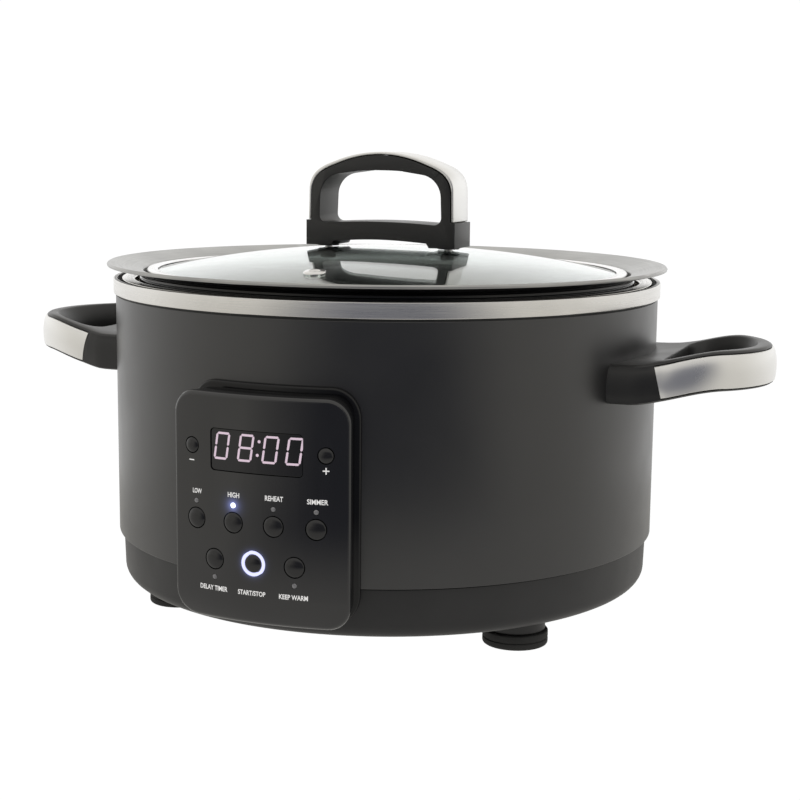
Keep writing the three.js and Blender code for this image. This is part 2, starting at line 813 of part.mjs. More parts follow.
function panelOutline(inset) {
  return roundedRectangle(
    -fasciaHalf + inset, fasciaBottom + inset, fasciaHalf - inset, fasciaTop - inset,
    fasciaCorner - inset,
  );
}

// The part of a cylinder wall that lies behind an outline seen from the front.
function curvedPanel(outline, inner, outer) {
  const wall = hoop(inner, outer, 0, fasciaTop + 20, panelSteps);
  return common(wall, pushedAlongY(outline, -outer - 5, -bodyRadius / 2));
}

function panelHole(radius, arc, height) {
  return radialRod(disc(radius, fasciaInner - 3, fasciaRadius + 3), panelAngle(arc), height);
}

function displayOutline(inset) {
  const half = fasciaRadius * Math.sin(panelAngle(displayWidth / 2)) - inset;
  const middle = fasciaBottom + displayMiddle;
  const tall = displayHeight / 2 - inset;
  return roundedRectangle(-half, middle - tall, half, middle + tall, 2);
}

const upperZ = fasciaBottom + upperRow;
const lowerZ = fasciaBottom + lowerRow;
const adjustZ = fasciaBottom + adjustMiddle;
const buttons = [
  { name: 'minus_button', arc: -adjustOffset, height: adjustZ, radius: adjustRadius },
  { name: 'plus_button', arc: adjustOffset, height: adjustZ, radius: adjustRadius },
  { name: 'low_button', arc: buttonShift - 1.5 * buttonPitch, height: upperZ, radius: buttonRadius },
  { name: 'high_button', arc: buttonShift - 0.5 * buttonPitch, height: upperZ, radius: buttonRadius },
  { name: 'reheat_button', arc: buttonShift + 0.5 * buttonPitch, height: upperZ, radius: buttonRadius },
  { name: 'simmer_button', arc: buttonShift + 1.5 * buttonPitch, height: upperZ, radius: buttonRadius },
  { name: 'delay_button', arc: buttonShift - buttonPitch, height: lowerZ, radius: buttonRadius },
  { name: 'start_button', arc: buttonShift, height: lowerZ, radius: startRadius },
  { name: 'warm_button', arc: buttonShift + buttonPitch, height: lowerZ, radius: buttonRadius },
];
const lights = [
  { name: 'low_light', arc: buttonShift - 1.5 * buttonPitch, height: fasciaBottom + upperLights },
  { name: 'high_light', arc: buttonShift - 0.5 * buttonPitch, height: fasciaBottom + upperLights },
  { name: 'reheat_light', arc: buttonShift + 0.5 * buttonPitch, height: fasciaBottom + upperLights },
  { name: 'simmer_light', arc: buttonShift + 1.5 * buttonPitch, height: fasciaBottom + upperLights },
  { name: 'delay_light', arc: buttonShift - buttonPitch, height: fasciaBottom + lowerLights },
  { name: 'warm_light', arc: buttonShift + buttonPitch, height: fasciaBottom + lowerLights },
];
const ringInner = startRadius + gap;
const ringOuter = ringInner + startRingWidth;

function controlFascia() {
  const holes = buttons.map(({ name, arc, height, radius }) => panelHole(
    name === 'start_button' ? ringOuter + gap : radius + gap, arc, height));
  const lightHoles = lights.map(({ arc, height }) => panelHole(lightRadius + gap, arc, height));
  const window = pushedAlongY(displayOutline(0), -fasciaRadius - 5, -fasciaInner + 20);
  return cut(curvedPanel(panelOutline(0), fasciaInner, fasciaRadius), window, ...holes, ...lightHoles);
}
place('control_fascia', 'glossBlack', controlFascia());

function controlPod() {
  const solid = curvedPanel(panelOutline(0.4), podInner, fasciaInner - gap);
  return cut(solid, pushedAlongY(panelOutline(podWall + 0.4), -fasciaRadius - 5, -bodyRadius / 2));
}
place('control_pod', 'blackPlastic', controlPod());

place('display_lens', 'glossBlack', curvedPanel(
  displayOutline(gap), fasciaInner + lensRecess, fasciaRadius - lensRecess));

const boardHalf = fasciaHalf - boardMargin;
const board = place('control_board', 'board', block(
  2 * boardHalf, boardThickness, fasciaHeight - 2 * boardMargin));
board.position.set(0, -boardFront + boardThickness / 2, fasciaBottom + fasciaHeight / 2);

const module = place('display_module', 'blackPlastic', block(
  displayWidth - 3, moduleDepth, displayHeight - 2));
module.position.set(0, -boardFront - gap - moduleDepth / 2, fasciaBottom + displayMiddle);

// A domed cap that shows through the fascia, with a wider flange behind it.
function buttonShape(radius) {
  const flangeTop = fasciaInner - gap;
  const flangeBottom = flangeTop - buttonFlange;
  return turned([
    [0, flangeBottom],
    [radius + buttonFlange, flangeBottom],
    [radius + buttonFlange, flangeTop],
    [radius, flangeTop],
    [radius, fasciaRadius - gap],
    [radius * domeShoulder, fasciaRadius + buttonDome * domeShoulderRise],
    [0, fasciaRadius + buttonDome],
  ], smallSteps);
}
for (const { name, arc, height, radius } of buttons) {
  place(name, 'glossBlack', radialRod(buttonShape(radius), 0, 0), panelAngle(arc), height);
}

const ringPipe = hoop(ringInner, ringOuter, fasciaInner + gap, fasciaRadius + 0.2, 20);
place('start_light_ring', 'light', radialRod(ringPipe, 0, 0), panelAngle(buttonShift), lowerZ);

for (const { name, arc, height } of lights) {
  const pipe = disc(lightRadius, fasciaInner - 1, fasciaRadius + 0.1, 12);
  place(name, 'light', radialRod(pipe, 0, 0), panelAngle(arc), height);
}

// ---- Mains inlet -------------------------------------------------------------------------------

function centredRectangle(width, height, corner) {
  return roundedRectangle(-width / 2, inletZ - height / 2, width / 2, inletZ + height / 2, corner);
}

function inletHousing() {
  const frame = centredRectangle(inletWidth + 2 * inletFrame, inletHeight + 2 * inletFrame, 6);
  const opening = centredRectangle(inletWidth + 2 * gap, inletHeight + 2 * gap, 2);
  return cut(
    pushedAlongY(frame, bodyRadius - 20, inletBack),
    disc(bodyRadius + gap, 0, 2 * inletZ, bodySteps),
    pushedAlongY(opening, 0, inletBack + 10),
  );
}
place('inlet_housing', 'blackPlastic', inletHousing());

const pinPlaces = [['line', -pinSpacing, -pinRise], ['neutral', pinSpacing, -pinRise], ['earth', 0, pinRise]];

function mainsInlet() {
  const front = inletBack - inletDepth;
  const pinHoles = pinPlaces.map(([, x, rise]) => block(
    pinSize[0] + 2 * gap, 100, pinSize[2] + 2 * gap).translate(x, front, inletZ + rise));
  return cut(
    pushedAlongY(centredRectangle(inletWidth, inletHeight, 2), front, inletBack - gap),
    pushedAlongY(centredRectangle(socketWidth, socketHeight, 3), inletBack - socketDepth, inletBack + 10),
    ...pinHoles,
  );
}
place('mains_inlet', 'blackPlastic', mainsInlet());

for (const [name, x, rise] of pinPlaces) {
  const pin = place(`inlet_pin_${name}`, 'brass', block(...pinSize));
  pin.position.set(x, inletBack - 3 - pinSize[1] / 2, inletZ + rise);
}

export default slowCooker;
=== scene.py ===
import math
import bmesh
import bpy
from mathutils import Matrix, Vector


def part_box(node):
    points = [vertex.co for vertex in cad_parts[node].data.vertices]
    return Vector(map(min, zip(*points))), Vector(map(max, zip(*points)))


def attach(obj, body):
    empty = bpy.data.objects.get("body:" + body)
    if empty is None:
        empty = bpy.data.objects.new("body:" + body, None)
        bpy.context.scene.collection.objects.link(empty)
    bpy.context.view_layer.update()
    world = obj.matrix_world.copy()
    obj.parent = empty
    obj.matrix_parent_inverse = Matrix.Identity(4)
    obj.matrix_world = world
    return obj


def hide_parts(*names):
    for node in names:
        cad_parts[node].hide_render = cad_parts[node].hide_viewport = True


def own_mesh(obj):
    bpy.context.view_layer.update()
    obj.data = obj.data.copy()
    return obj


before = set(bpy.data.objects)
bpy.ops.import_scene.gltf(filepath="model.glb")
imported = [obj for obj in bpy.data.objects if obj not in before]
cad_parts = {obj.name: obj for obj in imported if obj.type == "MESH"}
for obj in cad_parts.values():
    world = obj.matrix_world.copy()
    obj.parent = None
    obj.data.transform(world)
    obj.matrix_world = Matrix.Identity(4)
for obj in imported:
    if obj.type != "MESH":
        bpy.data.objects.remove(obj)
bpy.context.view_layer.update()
mm = 0.001


# working habits: selection, modifiers, places

def clearSelection():
    active = bpy.context.view_layer.objects.active
    if active and active.mode != "OBJECT":
        bpy.ops.object.mode_set(mode="OBJECT")
    bpy.ops.object.select_all(action="DESELECT")


def pick(*chosen):
    clearSelection()
    for obj in chosen:
        obj.select_set(True)
    bpy.context.view_layer.objects.active = chosen[0]


def editAll(obj, parts="VERT"):
    pick(obj)
    bpy.ops.object.mode_set(mode="EDIT")
    bpy.ops.mesh.select_mode(type=parts)
    bpy.ops.mesh.select_all(action="SELECT")


def leaveEdit():
    bpy.ops.object.mode_set(mode="OBJECT")


def named(obj, name):
    obj.name = name
    obj.data.name = name
    return obj


def applyModifier(obj, kind, **settings):
    pick(obj)
    bpy.ops.object.modifier_add(type=kind)
    modifier = obj.modifiers[-1]
    for key, value in settings.items():
        setattr(modifier, key, value)
    bpy.ops.object.modifier_apply(modifier=modifier.name)


def softEdges(obj, width, segments=3, angle=32):
    applyModifier(obj, "BEVEL", width=width * mm, segments=segments, limit_method="ANGLE",
                  angle_limit=math.radians(angle), use_clamp_overlap=True)


def bevelEdges(obj, test, width, segments, **settings):
    # only the edges whose two ends, in millimetres, pass the test
    pick(obj)
    mesh = obj.data
    for part in (mesh.vertices, mesh.polygons):
        for item in part:
            item.select = False
    for edge in mesh.edges:
        edge.select = test(*(mesh.vertices[i].co / mm for i in edge.vertices))
    bpy.ops.object.mode_set(mode="EDIT")
    bpy.ops.mesh.select_mode(type="EDGE")
    bpy.ops.mesh.bevel(offset=width * mm, segments=segments, affect="EDGES", **settings)
    leaveEdit()


def shadeSoft(obj, angle=35):
    pick(obj)
    bpy.ops.object.shade_smooth_by_angle(angle=math.radians(angle))


def cutAway(obj, *tools):
    for tool in tools:
        applyModifier(obj, "BOOLEAN", operation="DIFFERENCE", solver="EXACT", object=tool)
        bpy.data.objects.remove(tool, do_unlink=True)


def joined(first, *others):
    pick(first, *others)
    bpy.ops.object.join()
    return first


def settle(obj, place=None):
    if place is not None:
        obj.matrix_world = place
        bpy.context.view_layer.update()
    pick(obj)
    bpy.ops.object.transform_apply(location=True, rotation=True, scale=True)
    return obj


def copyOf(obj, name):
    twin = obj.copy()
    twin.data = obj.data.copy()
    bpy.context.collection.objects.link(twin)
    return named(twin, name)


def moved(x=0, y=0, z=0):
    # a place given in millimetres
    return Matrix.Translation((x * mm, y * mm, z * mm))


def span(node):
    low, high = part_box(node)
    return [v / mm for v in low], [v / mm for v in high]


# shapes: outlines, turned pieces, lofts, plates

def softened(points, steps=4):
    # a point with a third value gets a round corner of that radius
    result = []
    for i, point in enumerate(points):
        if len(point) < 3:
            result.append(tuple(point))
            continue
        here = Vector(point[:2])
        back = Vector(points[i - 1][:2]) - here
        on = Vector(points[(i + 1) % len(points)][:2]) - here
        half = back.angle(on) / 2
        reach = min(point[2] / math.tan(half), 0.49 * back.length, 0.49 * on.length)
        radius = reach * math.tan(half)
        centre = here + (back.normalized() + on.normalized()).normalized() * radius / math.sin(half)
        first = here + back.normalized() * reach - centre
        last = here + on.normalized() * reach - centre
        turn = first.angle_signed(last)
        for k in range(steps + 1):
            spoke = first.copy()
            spoke.rotate(Matrix.Rotation(-turn * k / steps, 2))
            result.append(tuple(centre + spoke))
    return result


def arcPoints(centre, radius, start, end, steps=6):
    return [(centre[0] + radius * math.cos(math.radians(start + (end - start) * k / steps)),
             centre[1] + radius * math.sin(math.radians(start + (end - start) * k / steps)))
            for k in range(steps + 1)]


def drawChain(name, points, closed):
    # one vertex, pulled out point by point
    clearSelection()
    bpy.ops.mesh.primitive_plane_add(size=0.01, location=(0, 0, 0))
    obj = named(bpy.context.object, name)
    editAll(obj)
    bpy.ops.mesh.merge(type="CENTER")
    spots = [Vector(point) * mm for point in points]
    bpy.ops.transform.translate(value=spots[0])
    for here, there in zip(spots, spots[1:]):
        bpy.ops.mesh.extrude_region_move(TRANSFORM_OT_translate={"value": there - here})
    if closed:
        chain = bmesh.from_edit_mesh(obj.data)
        for vertex in chain.verts:
            vertex.select_set(len(vertex.link_edges) == 1)
        chain.select_flush(True)
        bpy.ops.mesh.edge_face_add()
    bpy.ops.mesh.select_all(action="SELECT")
    return obj


def turnedPiece(name, profile, steps=192, closed=True):
    obj = drawChain(name, [(r, 0, z) for r, z in profile], closed)
    bpy.ops.mesh.spin(steps=steps, angle=2 * math.pi, center=(0, 0, 0), axis=(0, 0, 1))
    bpy.ops.mesh.select_all(action="SELECT")
    bpy.ops.mesh.remove_doubles(threshold=1e-6)
    bpy.ops.mesh.normals_make_consistent(inside=False)
    leaveEdit()
    shadeSoft(obj)
    return obj


def slabPiece(name, outline, depth):
    # an outline drawn in X and Z, filled and pushed through along Y
    obj = drawChain(name, [(x, 0, z) for x, z in outline], True)
    bpy.ops.mesh.edge_face_add()
    bpy.ops.mesh.extrude_region_move(TRANSFORM_OT_translate={"value": (0, depth * mm, 0)})
    bpy.ops.mesh.select_all(action="SELECT")
    bpy.ops.mesh.normals_make_consistent(inside=False)
    leaveEdit()
    return obj


def loftedPiece(name, rings, capped=False):
    # rings with the same number of points; the last joins the first unless the ends are capped
    clearSelection()
    bpy.ops.mesh.primitive_circle_add(vertices=len(rings[0]), radius=0.05)
    obj = named(bpy.context.object, name)
    editAll(obj, "EDGE")
    mesh = bmesh.from_edit_mesh(obj.data)
    mesh.verts.ensure_lookup_table()
    start = mesh.verts[0]
    order = [start]
    while len(order) < len(rings[0]):
        nearby = [edge.other_vert(order[-1]) for edge in order[-1].link_edges]
        order.append(next(v for v in nearby if v not in order[-2:] and v is not start))
    place = {vertex.index: k for k, vertex in enumerate(order)}
    for vertex in order:
        vertex.co = Vector(rings[0][place[vertex.index]]) * mm
    if capped:
        bpy.ops.mesh.edge_face_add()
    for ring in rings[1:]:
        mesh = bmesh.from_edit_mesh(obj.data)
        if capped and ring is rings[1]:
            for face in mesh.faces:
                face.select_set(False)
            for edge in mesh.edges:
                edge.select_set(True)
        bpy.ops.mesh.extrude_edges_move(TRANSFORM_OT_translate={"value": (0, 0, 0.001)})
        mesh = bmesh.from_edit_mesh(obj.data)
        mesh.verts.ensure_lookup_table()
        fresh = [v for v in mesh.verts if v.select]
        known = {}
        for vertex in fresh:
            old = next(e.other_vert(vertex) for e in vertex.link_edges if not e.other_vert(vertex).select)
            known[vertex.index] = place[old.index]
        for vertex in fresh:
            vertex.co = Vector(ring[known[vertex.index]]) * mm
        place = known
    if capped:
        bpy.ops.mesh.edge_face_add()
    bpy.ops.mesh.select_all(action="SELECT")
    bpy.ops.mesh.remove_doubles(threshold=2e-6)
    bpy.ops.mesh.normals_make_consistent(inside=False)
    leaveEdit()
    shadeSoft(obj)
    return obj


def sliced(obj, axis, places):
    # straight cuts right through, so that a flat piece can bend
    editAll(obj)
    for place in places:
        bpy.ops.mesh.select_all(action="SELECT")
        facing = [1.0 if k == axis else 0.0 for k in range(3)]
        bpy.ops.mesh.bisect(plane_co=[place * mm * f for f in facing], plane_no=facing)
    leaveEdit()


def evenly(low, high, step):
    count = max(1, round((high - low) / step))
    return [low + (high - low) * k / count for k in range(1, count)]


def freeCopy(node, name):
    obj = copyOf(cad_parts[node], name)
    obj.parent = None
    obj.matrix_world = Matrix.Identity(4)
    return obj


def softCopy(node, name, width, segments=2):
    # the node's own shape with its edges taken off
    obj = freeCopy(node, name)
    editAll(obj)
    bpy.ops.mesh.remove_doubles(threshold=1e-6)
    bpy.ops.mesh.dissolve_limited(angle_limit=math.radians(1))
    leaveEdit()
    softEdges(obj, width, segments)
    shadeSoft(obj)
    return obj


def bentRound(obj, radius):
    # flat front at y 0, wrapped onto an upright cylinder of that radius in front
    applyModifier(obj, "SIMPLE_DEFORM", deform_method="BEND", deform_axis="Z",
                  angle=obj.dimensions.x / (radius * mm))
    settle(obj, moved(y=-radius))


# shared finish effects

def newGroup(name, inputs, outputs):
    group = bpy.data.node_groups.new(name, "ShaderNodeTree")
    for label, kind, value in inputs:
        socket = group.interface.new_socket(name=label, in_out="INPUT", socket_type=kind)
        socket.default_value = value
    for label, kind in outputs:
        group.interface.new_socket(name=label, in_out="OUTPUT", socket_type=kind)
    return group, group.nodes.new("NodeGroupInput"), group.nodes.new("NodeGroupOutput")


def feed(tree, node, values):
    # each input gets a plain value, or a link from another node
    for key, value in values.items():
        if isinstance(value, bpy.types.NodeSocket):
            tree.links.new(value, node.inputs[key])
        else:
            node.inputs[key].default_value = value


def addNode(tree, kind, values=None, **settings):
    node = tree.nodes.new(kind)
    for key, value in settings.items():
        setattr(node, key, value)
    feed(tree, node, values or {})
    return node


def mathNode(tree, operation, *values):
    return addNode(tree, "ShaderNodeMath", dict(enumerate(values)), operation=operation).outputs[0]


def colourMix(tree, amount, first, second):
    return addNode(tree, "ShaderNodeMix", {0: amount, 6: first, 7: second}, data_type="RGBA").outputs[2]


def rangeNode(tree, value, low, high, start=0, end=1, kind="LINEAR"):
    # value taken from between low and high to between start and end
    return addNode(tree, "ShaderNodeMapRange", {
        "Value": value, "From Min": low, "From Max": high, "To Min": start, "To Max": end,
    }, interpolation_type=kind).outputs["Result"]


def spotIn(tree, system="Object"):
    return addNode(tree, "ShaderNodeTexCoord").outputs[system]


def noiseNode(tree, spot, scale, detail):
    return addNode(tree, "ShaderNodeTexNoise", {
        "Vector": spot, "Scale": scale, "Detail": detail,
    }).outputs["Fac"]


def vectorNode(tree, operation, *values):
    return addNode(tree, "ShaderNodeVectorMath", dict(enumerate(values)), operation=operation).outputs


def buildToneDrift():
    # two close colours that drift into each other, lighter where an edge stands proud
    colour = "NodeSocketColor"
    value = "NodeSocketFloat"
    tree, given, made = newGroup("toneDrift", [
        ("Deep", colour, (0.1, 0.1, 0.1, 1)), ("Light", colour, (0.2, 0.2, 0.2, 1)),
        ("Worn", colour, (0.3, 0.3, 0.3, 1)), ("Scale", value, 40), ("Wear", value, 0.2),
    ], [("Color", colour)])
    cloud = noiseNode(tree, spotIn(tree), given.outputs["Scale"], 4)
    drift = rangeNode(tree, cloud, 0.35, 0.65)
    base = colourMix(tree, drift, given.outputs["Deep"], given.outputs["Light"])
    shape = addNode(tree, "ShaderNodeNewGeometry")
    edge = rangeNode(tree, shape.outputs["Pointiness"], 0.53, 0.62)
    amount = mathNode(tree, "MULTIPLY", edge, given.outputs["Wear"])
    feed(tree, made, {"Color": colourMix(tree, amount, base, given.outputs["Worn"])})
    return tree


def buildGrain():
    # fine even grain: a height for the bump and a wandering roughness
    value = "NodeSocketFloat"
    tree, given, made = newGroup("surfaceGrain", [
        ("Grain Scale", value, 2500), ("Cloud Scale", value, 30),
        ("Smooth", value, 0.3), ("Rough", value, 0.4),
    ], [("Height", value), ("Roughness", value)])
    spot = spotIn(tree)
    grain = noiseNode(tree, spot, given.outputs["Grain Scale"], 2)
    cloud = noiseNode(tree, spot, given.outputs["Cloud Scale"], 5)
    drift = rangeNode(tree, cloud, 0.3, 0.7, given.outputs["Smooth"], given.outputs["Rough"])
    feed(tree, made, {"Height": grain, "Roughness": drift})
    return tree


def buildTurnedBrush():
    # hair lines that run round the upright axis, with the join at the back
    value = "NodeSocketFloat"
    tree, given, made = newGroup("turnedBrush", [
        ("Line Scale", value, 3000), ("Smooth", value, 0.25), ("Rough", value, 0.4),
    ], [("Height", value), ("Roughness", value)])
    x, y, z = addNode(tree, "ShaderNodeSeparateXYZ", {0: spotIn(tree)}).outputs
    angle = mathNode(tree, "ARCTAN2", x, mathNode(tree, "MULTIPLY", y, -1))
    squares = [mathNode(tree, "POWER", side, 2) for side in (x, y)]
    radius = mathNode(tree, "SQRT", mathNode(tree, "ADD", *squares))
    lines = given.outputs["Line Scale"]
    turn = addNode(tree, "ShaderNodeCombineXYZ", {
        "X": mathNode(tree, "MULTIPLY", angle, 5), "Y": mathNode(tree, "MULTIPLY", radius, lines),
        "Z": mathNode(tree, "MULTIPLY", z, lines),
    })
    hair = noiseNode(tree, turn.outputs[0], 1, 3)
    drift = rangeNode(tree, hair, 0.3, 0.7, given.outputs["Smooth"], given.outputs["Rough"])
    feed(tree, made, {"Height": hair, "Roughness": drift})
    return tree


toneDrift = buildToneDrift()
surfaceGrain = buildGrain()
turnedBrush = buildTurnedBrush()


def spaced(values):
    return {label.replace("_", " "): value for label, value in values.items()}


def placeGroup(tree, group, **values):
    return addNode(tree, "ShaderNodeGroup", spaced(values), node_tree=group)


def shade(red, green, blue):
    return (red, green, blue, 1)


finishes = {}


def insides(name):
    tree = finishes[name].node_tree
    return tree, tree.nodes["Principled BSDF"]


def newFinish(name):
    finishes[name] = bpy.data.materials.new(name)
    finishes[name].use_nodes = True
    return insides(name)


def giveRelief(tree, shader, grain, bump, depth):
    relief = addNode(tree, "ShaderNodeBump", {
        "Strength": bump, "Distance": depth * mm, "Height": grain.outputs["Height"],
    })
    feed(tree, shader, {"Roughness": grain.outputs["Roughness"], "Normal": relief.outputs["Normal"]})


def makeFinish(name, deep, light, worn=None, toneScale=35, wear=0.15, smooth=0.3, rough=0.4,
               grainScale=2500, cloudScale=30, bump=0.1, depth=0.05, brushed=False, **plain):
    tree, shader = newFinish(name)
    tone = placeGroup(tree, toneDrift, Deep=shade(*deep), Light=shade(*light),
                      Worn=shade(*(worn or light)), Scale=toneScale, Wear=wear)
    if brushed:
        grain = placeGroup(tree, turnedBrush, Line_Scale=grainScale, Smooth=smooth, Rough=rough)
    else:
        grain = placeGroup(tree, surfaceGrain, Grain_Scale=grainScale, Cloud_Scale=cloudScale,
                           Smooth=smooth, Rough=rough)
    giveRelief(tree, shader, grain, bump, depth)
    feed(tree, shader, {"Base Color": tone.outputs["Color"], **spaced(plain)})


makeFinish("shellPaint", (0.0075, 0.0075, 0.0082), (0.0095, 0.0095, 0.0104), (0.03, 0.03, 0.03),
           smooth=0.29, rough=0.36, grainScale=1800, bump=0.12, depth=0.06, Specular_IOR_Level=0.85)
makeFinish("basePlastic", (0.009, 0.009, 0.010), (0.012, 0.012, 0.013), (0.05, 0.05, 0.05), smooth=0.4,
           rough=0.5, grainScale=1500, bump=0.2, depth=0.08)
makeFinish("footRubber", (0.010, 0.010, 0.010), (0.018, 0.018, 0.018), (0.05, 0.05, 0.05), smooth=0.7,
           rough=0.85, grainScale=900, bump=0.4, depth=0.1)
makeFinish("bandSteel", (0.68, 0.67, 0.65), (0.78, 0.77, 0.75), (0.88, 0.87, 0.85), toneScale=20,
           smooth=0.24, rough=0.38, grainScale=2600, bump=0.12, depth=0.03, brushed=True, Metallic=1)
makeFinish("lidSteel", (0.72, 0.71, 0.70), (0.80, 0.79, 0.78), (0.9, 0.9, 0.9), smooth=0.12, rough=0.22,
           grainScale=2600, bump=0.08, depth=0.02, brushed=True, Metallic=1)
makeFinish("wellSteel", (0.66, 0.64, 0.60), (0.74, 0.72, 0.68), (0.8, 0.8, 0.8), smooth=0.12, rough=0.2,
           grainScale=1600, bump=0.08, depth=0.03, brushed=True, Metallic=1)
makeFinish("hardwareSteel", (0.45, 0.45, 0.44), (0.6, 0.6, 0.58), (0.7, 0.7, 0.7), smooth=0.25,
           rough=0.4, Metallic=1)
makeFinish("chrome", (0.78, 0.775, 0.76), (0.82, 0.815, 0.80), (0.95, 0.95, 0.94), toneScale=12,
           smooth=0.27, rough=0.35, grainScale=600, cloudScale=14, bump=0.03, depth=0.02, Metallic=1)
makeFinish("panMetal", (0.33, 0.33, 0.325), (0.40, 0.40, 0.39), (0.6, 0.6, 0.59), wear=0.5, smooth=0.28,
           rough=0.38, grainScale=1500, bump=0.08, depth=0.03, brushed=True, Metallic=0.9)
makeFinish("panBlack", (0.008, 0.008, 0.009), (0.013, 0.013, 0.014), (0.03, 0.03, 0.03), smooth=0.08,
           rough=0.16, grainScale=700, bump=0.05, depth=0.03)
makeFinish("panCoat", (0.045, 0.045, 0.045), (0.07, 0.07, 0.068), (0.09, 0.09, 0.09), toneScale=900,
           smooth=0.28, rough=0.4, grainScale=1200, bump=0.2, depth=0.05)
makeFinish("handlePlastic", (0.009, 0.009, 0.009), (0.013, 0.013, 0.013), (0.05, 0.05, 0.048),
           smooth=0.34, rough=0.44, grainScale=2200, bump=0.18, depth=0.06)
makeFinish("sealRubber", (0.006, 0.006, 0.006), (0.011, 0.011, 0.011), (0.02, 0.02, 0.02), smooth=0.55,
           rough=0.7, grainScale=1200, bump=0.2, depth=0.05)
makeFinish("podGloss", (0.003, 0.003, 0.0035), (0.005, 0.005, 0.0056), (0.012, 0.012, 0.012),
           smooth=0.07, rough=0.13, grainScale=500, bump=0.04, depth=0.03, Specular_IOR_Level=0.3)
makeFinish("buttonGloss", (0.007, 0.007, 0.008), (0.010, 0.010, 0.011), (0.05, 0.05, 0.05), smooth=0.10,
           rough=0.16, grainScale=900, bump=0.05, depth=0.02)
makeFinish("lensGloss", (0.006, 0.006, 0.007), (0.009, 0.009, 0.011), (0.03, 0.03, 0.03), smooth=0.05,
           rough=0.08, grainScale=400, bump=0.02, depth=0.02)
makeFinish("lightPlastic", (0.16, 0.16, 0.17), (0.24, 0.24, 0.25), (0.4, 0.4, 0.42), toneScale=900,
           smooth=0.12, rough=0.25, grainScale=1500)
makeFinish("litLight", (0.75, 0.8, 1.0), (0.9, 0.93, 1.0), toneScale=600, smooth=0.2, rough=0.3,
           Emission_Color=shade(0.72, 0.78, 1.0), Emission_Strength=3.2)
makeFinish("litRing", (0.12, 0.12, 0.16), (0.16, 0.16, 0.2), toneScale=300, smooth=0.2, rough=0.3,
           Emission_Color=shade(0.62, 0.64, 1.0), Emission_Strength=1.25)
makeFinish("litDigit", (0.10, 0.08, 0.09), (0.14, 0.11, 0.13), toneScale=500, smooth=0.3, rough=0.4,
           Emission_Color=shade(0.88, 0.70, 0.82), Emission_Strength=0.68)
# white print with a painted glow: its emission makes it brighter than the lamps alone would
makeFinish("labelInkGlow", (0.70, 0.70, 0.70), (0.80, 0.80, 0.80), toneScale=800, smooth=0.5, rough=0.6,
           Emission_Color=shade(0.8, 0.8, 0.8), Emission_Strength=0.35)
makeFinish("boardLaminate", (0.02, 0.10, 0.04), (0.03, 0.14, 0.06), toneScale=300, smooth=0.35,
           rough=0.5)
makeFinish("blackPlastic", (0.012, 0.012, 0.012), (0.018, 0.018, 0.018), (0.04, 0.04, 0.04), smooth=0.4,
           rough=0.55, grainScale=1500, bump=0.2)
makeFinish("pinBrass", (0.50, 0.36, 0.14), (0.62, 0.46, 0.20), smooth=0.25, rough=0.4, Metallic=1)
makeFinish("floorPaper", (0.004, 0.004, 0.004), (0.006, 0.006, 0.006), toneScale=3, wear=0, smooth=0.9,
           rough=1.0, grainScale=400, bump=0.02, Specular_IOR_Level=0, Emission_Strength=1)


def makeGlass():
    tree, shader = newFinish("lidGlass")
    feed(tree, shader, {"Base Color": shade(0.90, 0.97, 0.94), "Transmission Weight": 1, "IOR": 1.52})
    grain = placeGroup(tree, surfaceGrain, Grain_Scale=60, Cloud_Scale=25, Smooth=0.0, Rough=0.03)
    giveRelief(tree, shader, grain, 0.02, 0.02)


makeGlass()


def coat(obj, *names):
    # one finish for all faces, or several for faces numbered afterwards
    obj.data.materials.clear()
    for name in names:
        obj.data.materials.append(finishes[name])


def fitted(obj, finish, slotName, *nodes, body="housing"):
    # its finish, a slot name that is not used, the nodes it stands for and the body it rides on
    coat(obj, finish)
    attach(obj, body)
    if nodes:
        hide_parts(*nodes)


print("finishes ready")


# camera, light and floor

view = {
    "place": (0.3293, -0.8361, 0.2551),
    "ahead": (-0.3539, 0.9218, -0.1580),
    "roll": 0.61,
    "lens": 72.19,
}


def standing(data, place, ahead, roll=0):
    # a camera or a lamp at its place, looking ahead
    obj = bpy.data.objects.new(data.name, data)
    bpy.context.collection.objects.link(obj)
    turn = Vector(ahead).to_track_quat("-Z", "Y").to_matrix().to_4x4()
    turn = turn @ Matrix.Rotation(math.radians(roll), 4, "Z")
    obj.matrix_world = Matrix.Translation(place) @ turn
    return obj


def setCamera():
    data = bpy.data.cameras.new("productCamera")
    data.lens = view["lens"]
    data.sensor_width = 36
    data.clip_start = 0.05
    obj = standing(data, view["place"], view["ahead"], view["roll"])
    bpy.context.scene.camera = obj


studio = {
    "behind": (1.18, 1.18, 1.18),
    "sides": (0.98, 0.965, 0.93),
    "warm": (0.76, 0.74, 0.69),
    "front": (0.165, 0.17, 0.20),
    "above": (0.85, 0.83, 0.79),      # overhead, from the first height to the second
    "aboveFrom": 0.22,
    "aboveTo": 0.55,
    "facing": (0.36, -0.93, 0.0),     # the dark side of the studio
    "shown": 1.02,
    "floor": 0.9,                     # brightness of the floor, as part of the wall above it
    "near": (0.68, 0.665, 0.63),      # floor close to the object, out to these distances
    "nearFull": 0.27,
    "nearEnd": 0.50,
}
studioStops = [(0.0, "behind"), (0.38, "sides"), (0.68, "warm"), (0.84, "warm"), (0.97, "front")]


def studioTint(tree, direction):
    # colour of the studio wall in a direction, bright behind the object and dark in front of it
    dot = vectorNode(tree, "DOT_PRODUCT", direction, studio["facing"])["Value"]
    half = mathNode(tree, "MULTIPLY_ADD", dot, 0.5, 0.5)
    ramp = addNode(tree, "ShaderNodeValToRGB")
    while len(ramp.color_ramp.elements) < len(studioStops):
        ramp.color_ramp.elements.new(0.5)
    for element, (position, tint) in zip(ramp.color_ramp.elements, studioStops):
        element.position = position
        element.color = shade(*studio[tint])
    feed(tree, ramp, {0: half})
    return ramp.outputs["Color"]


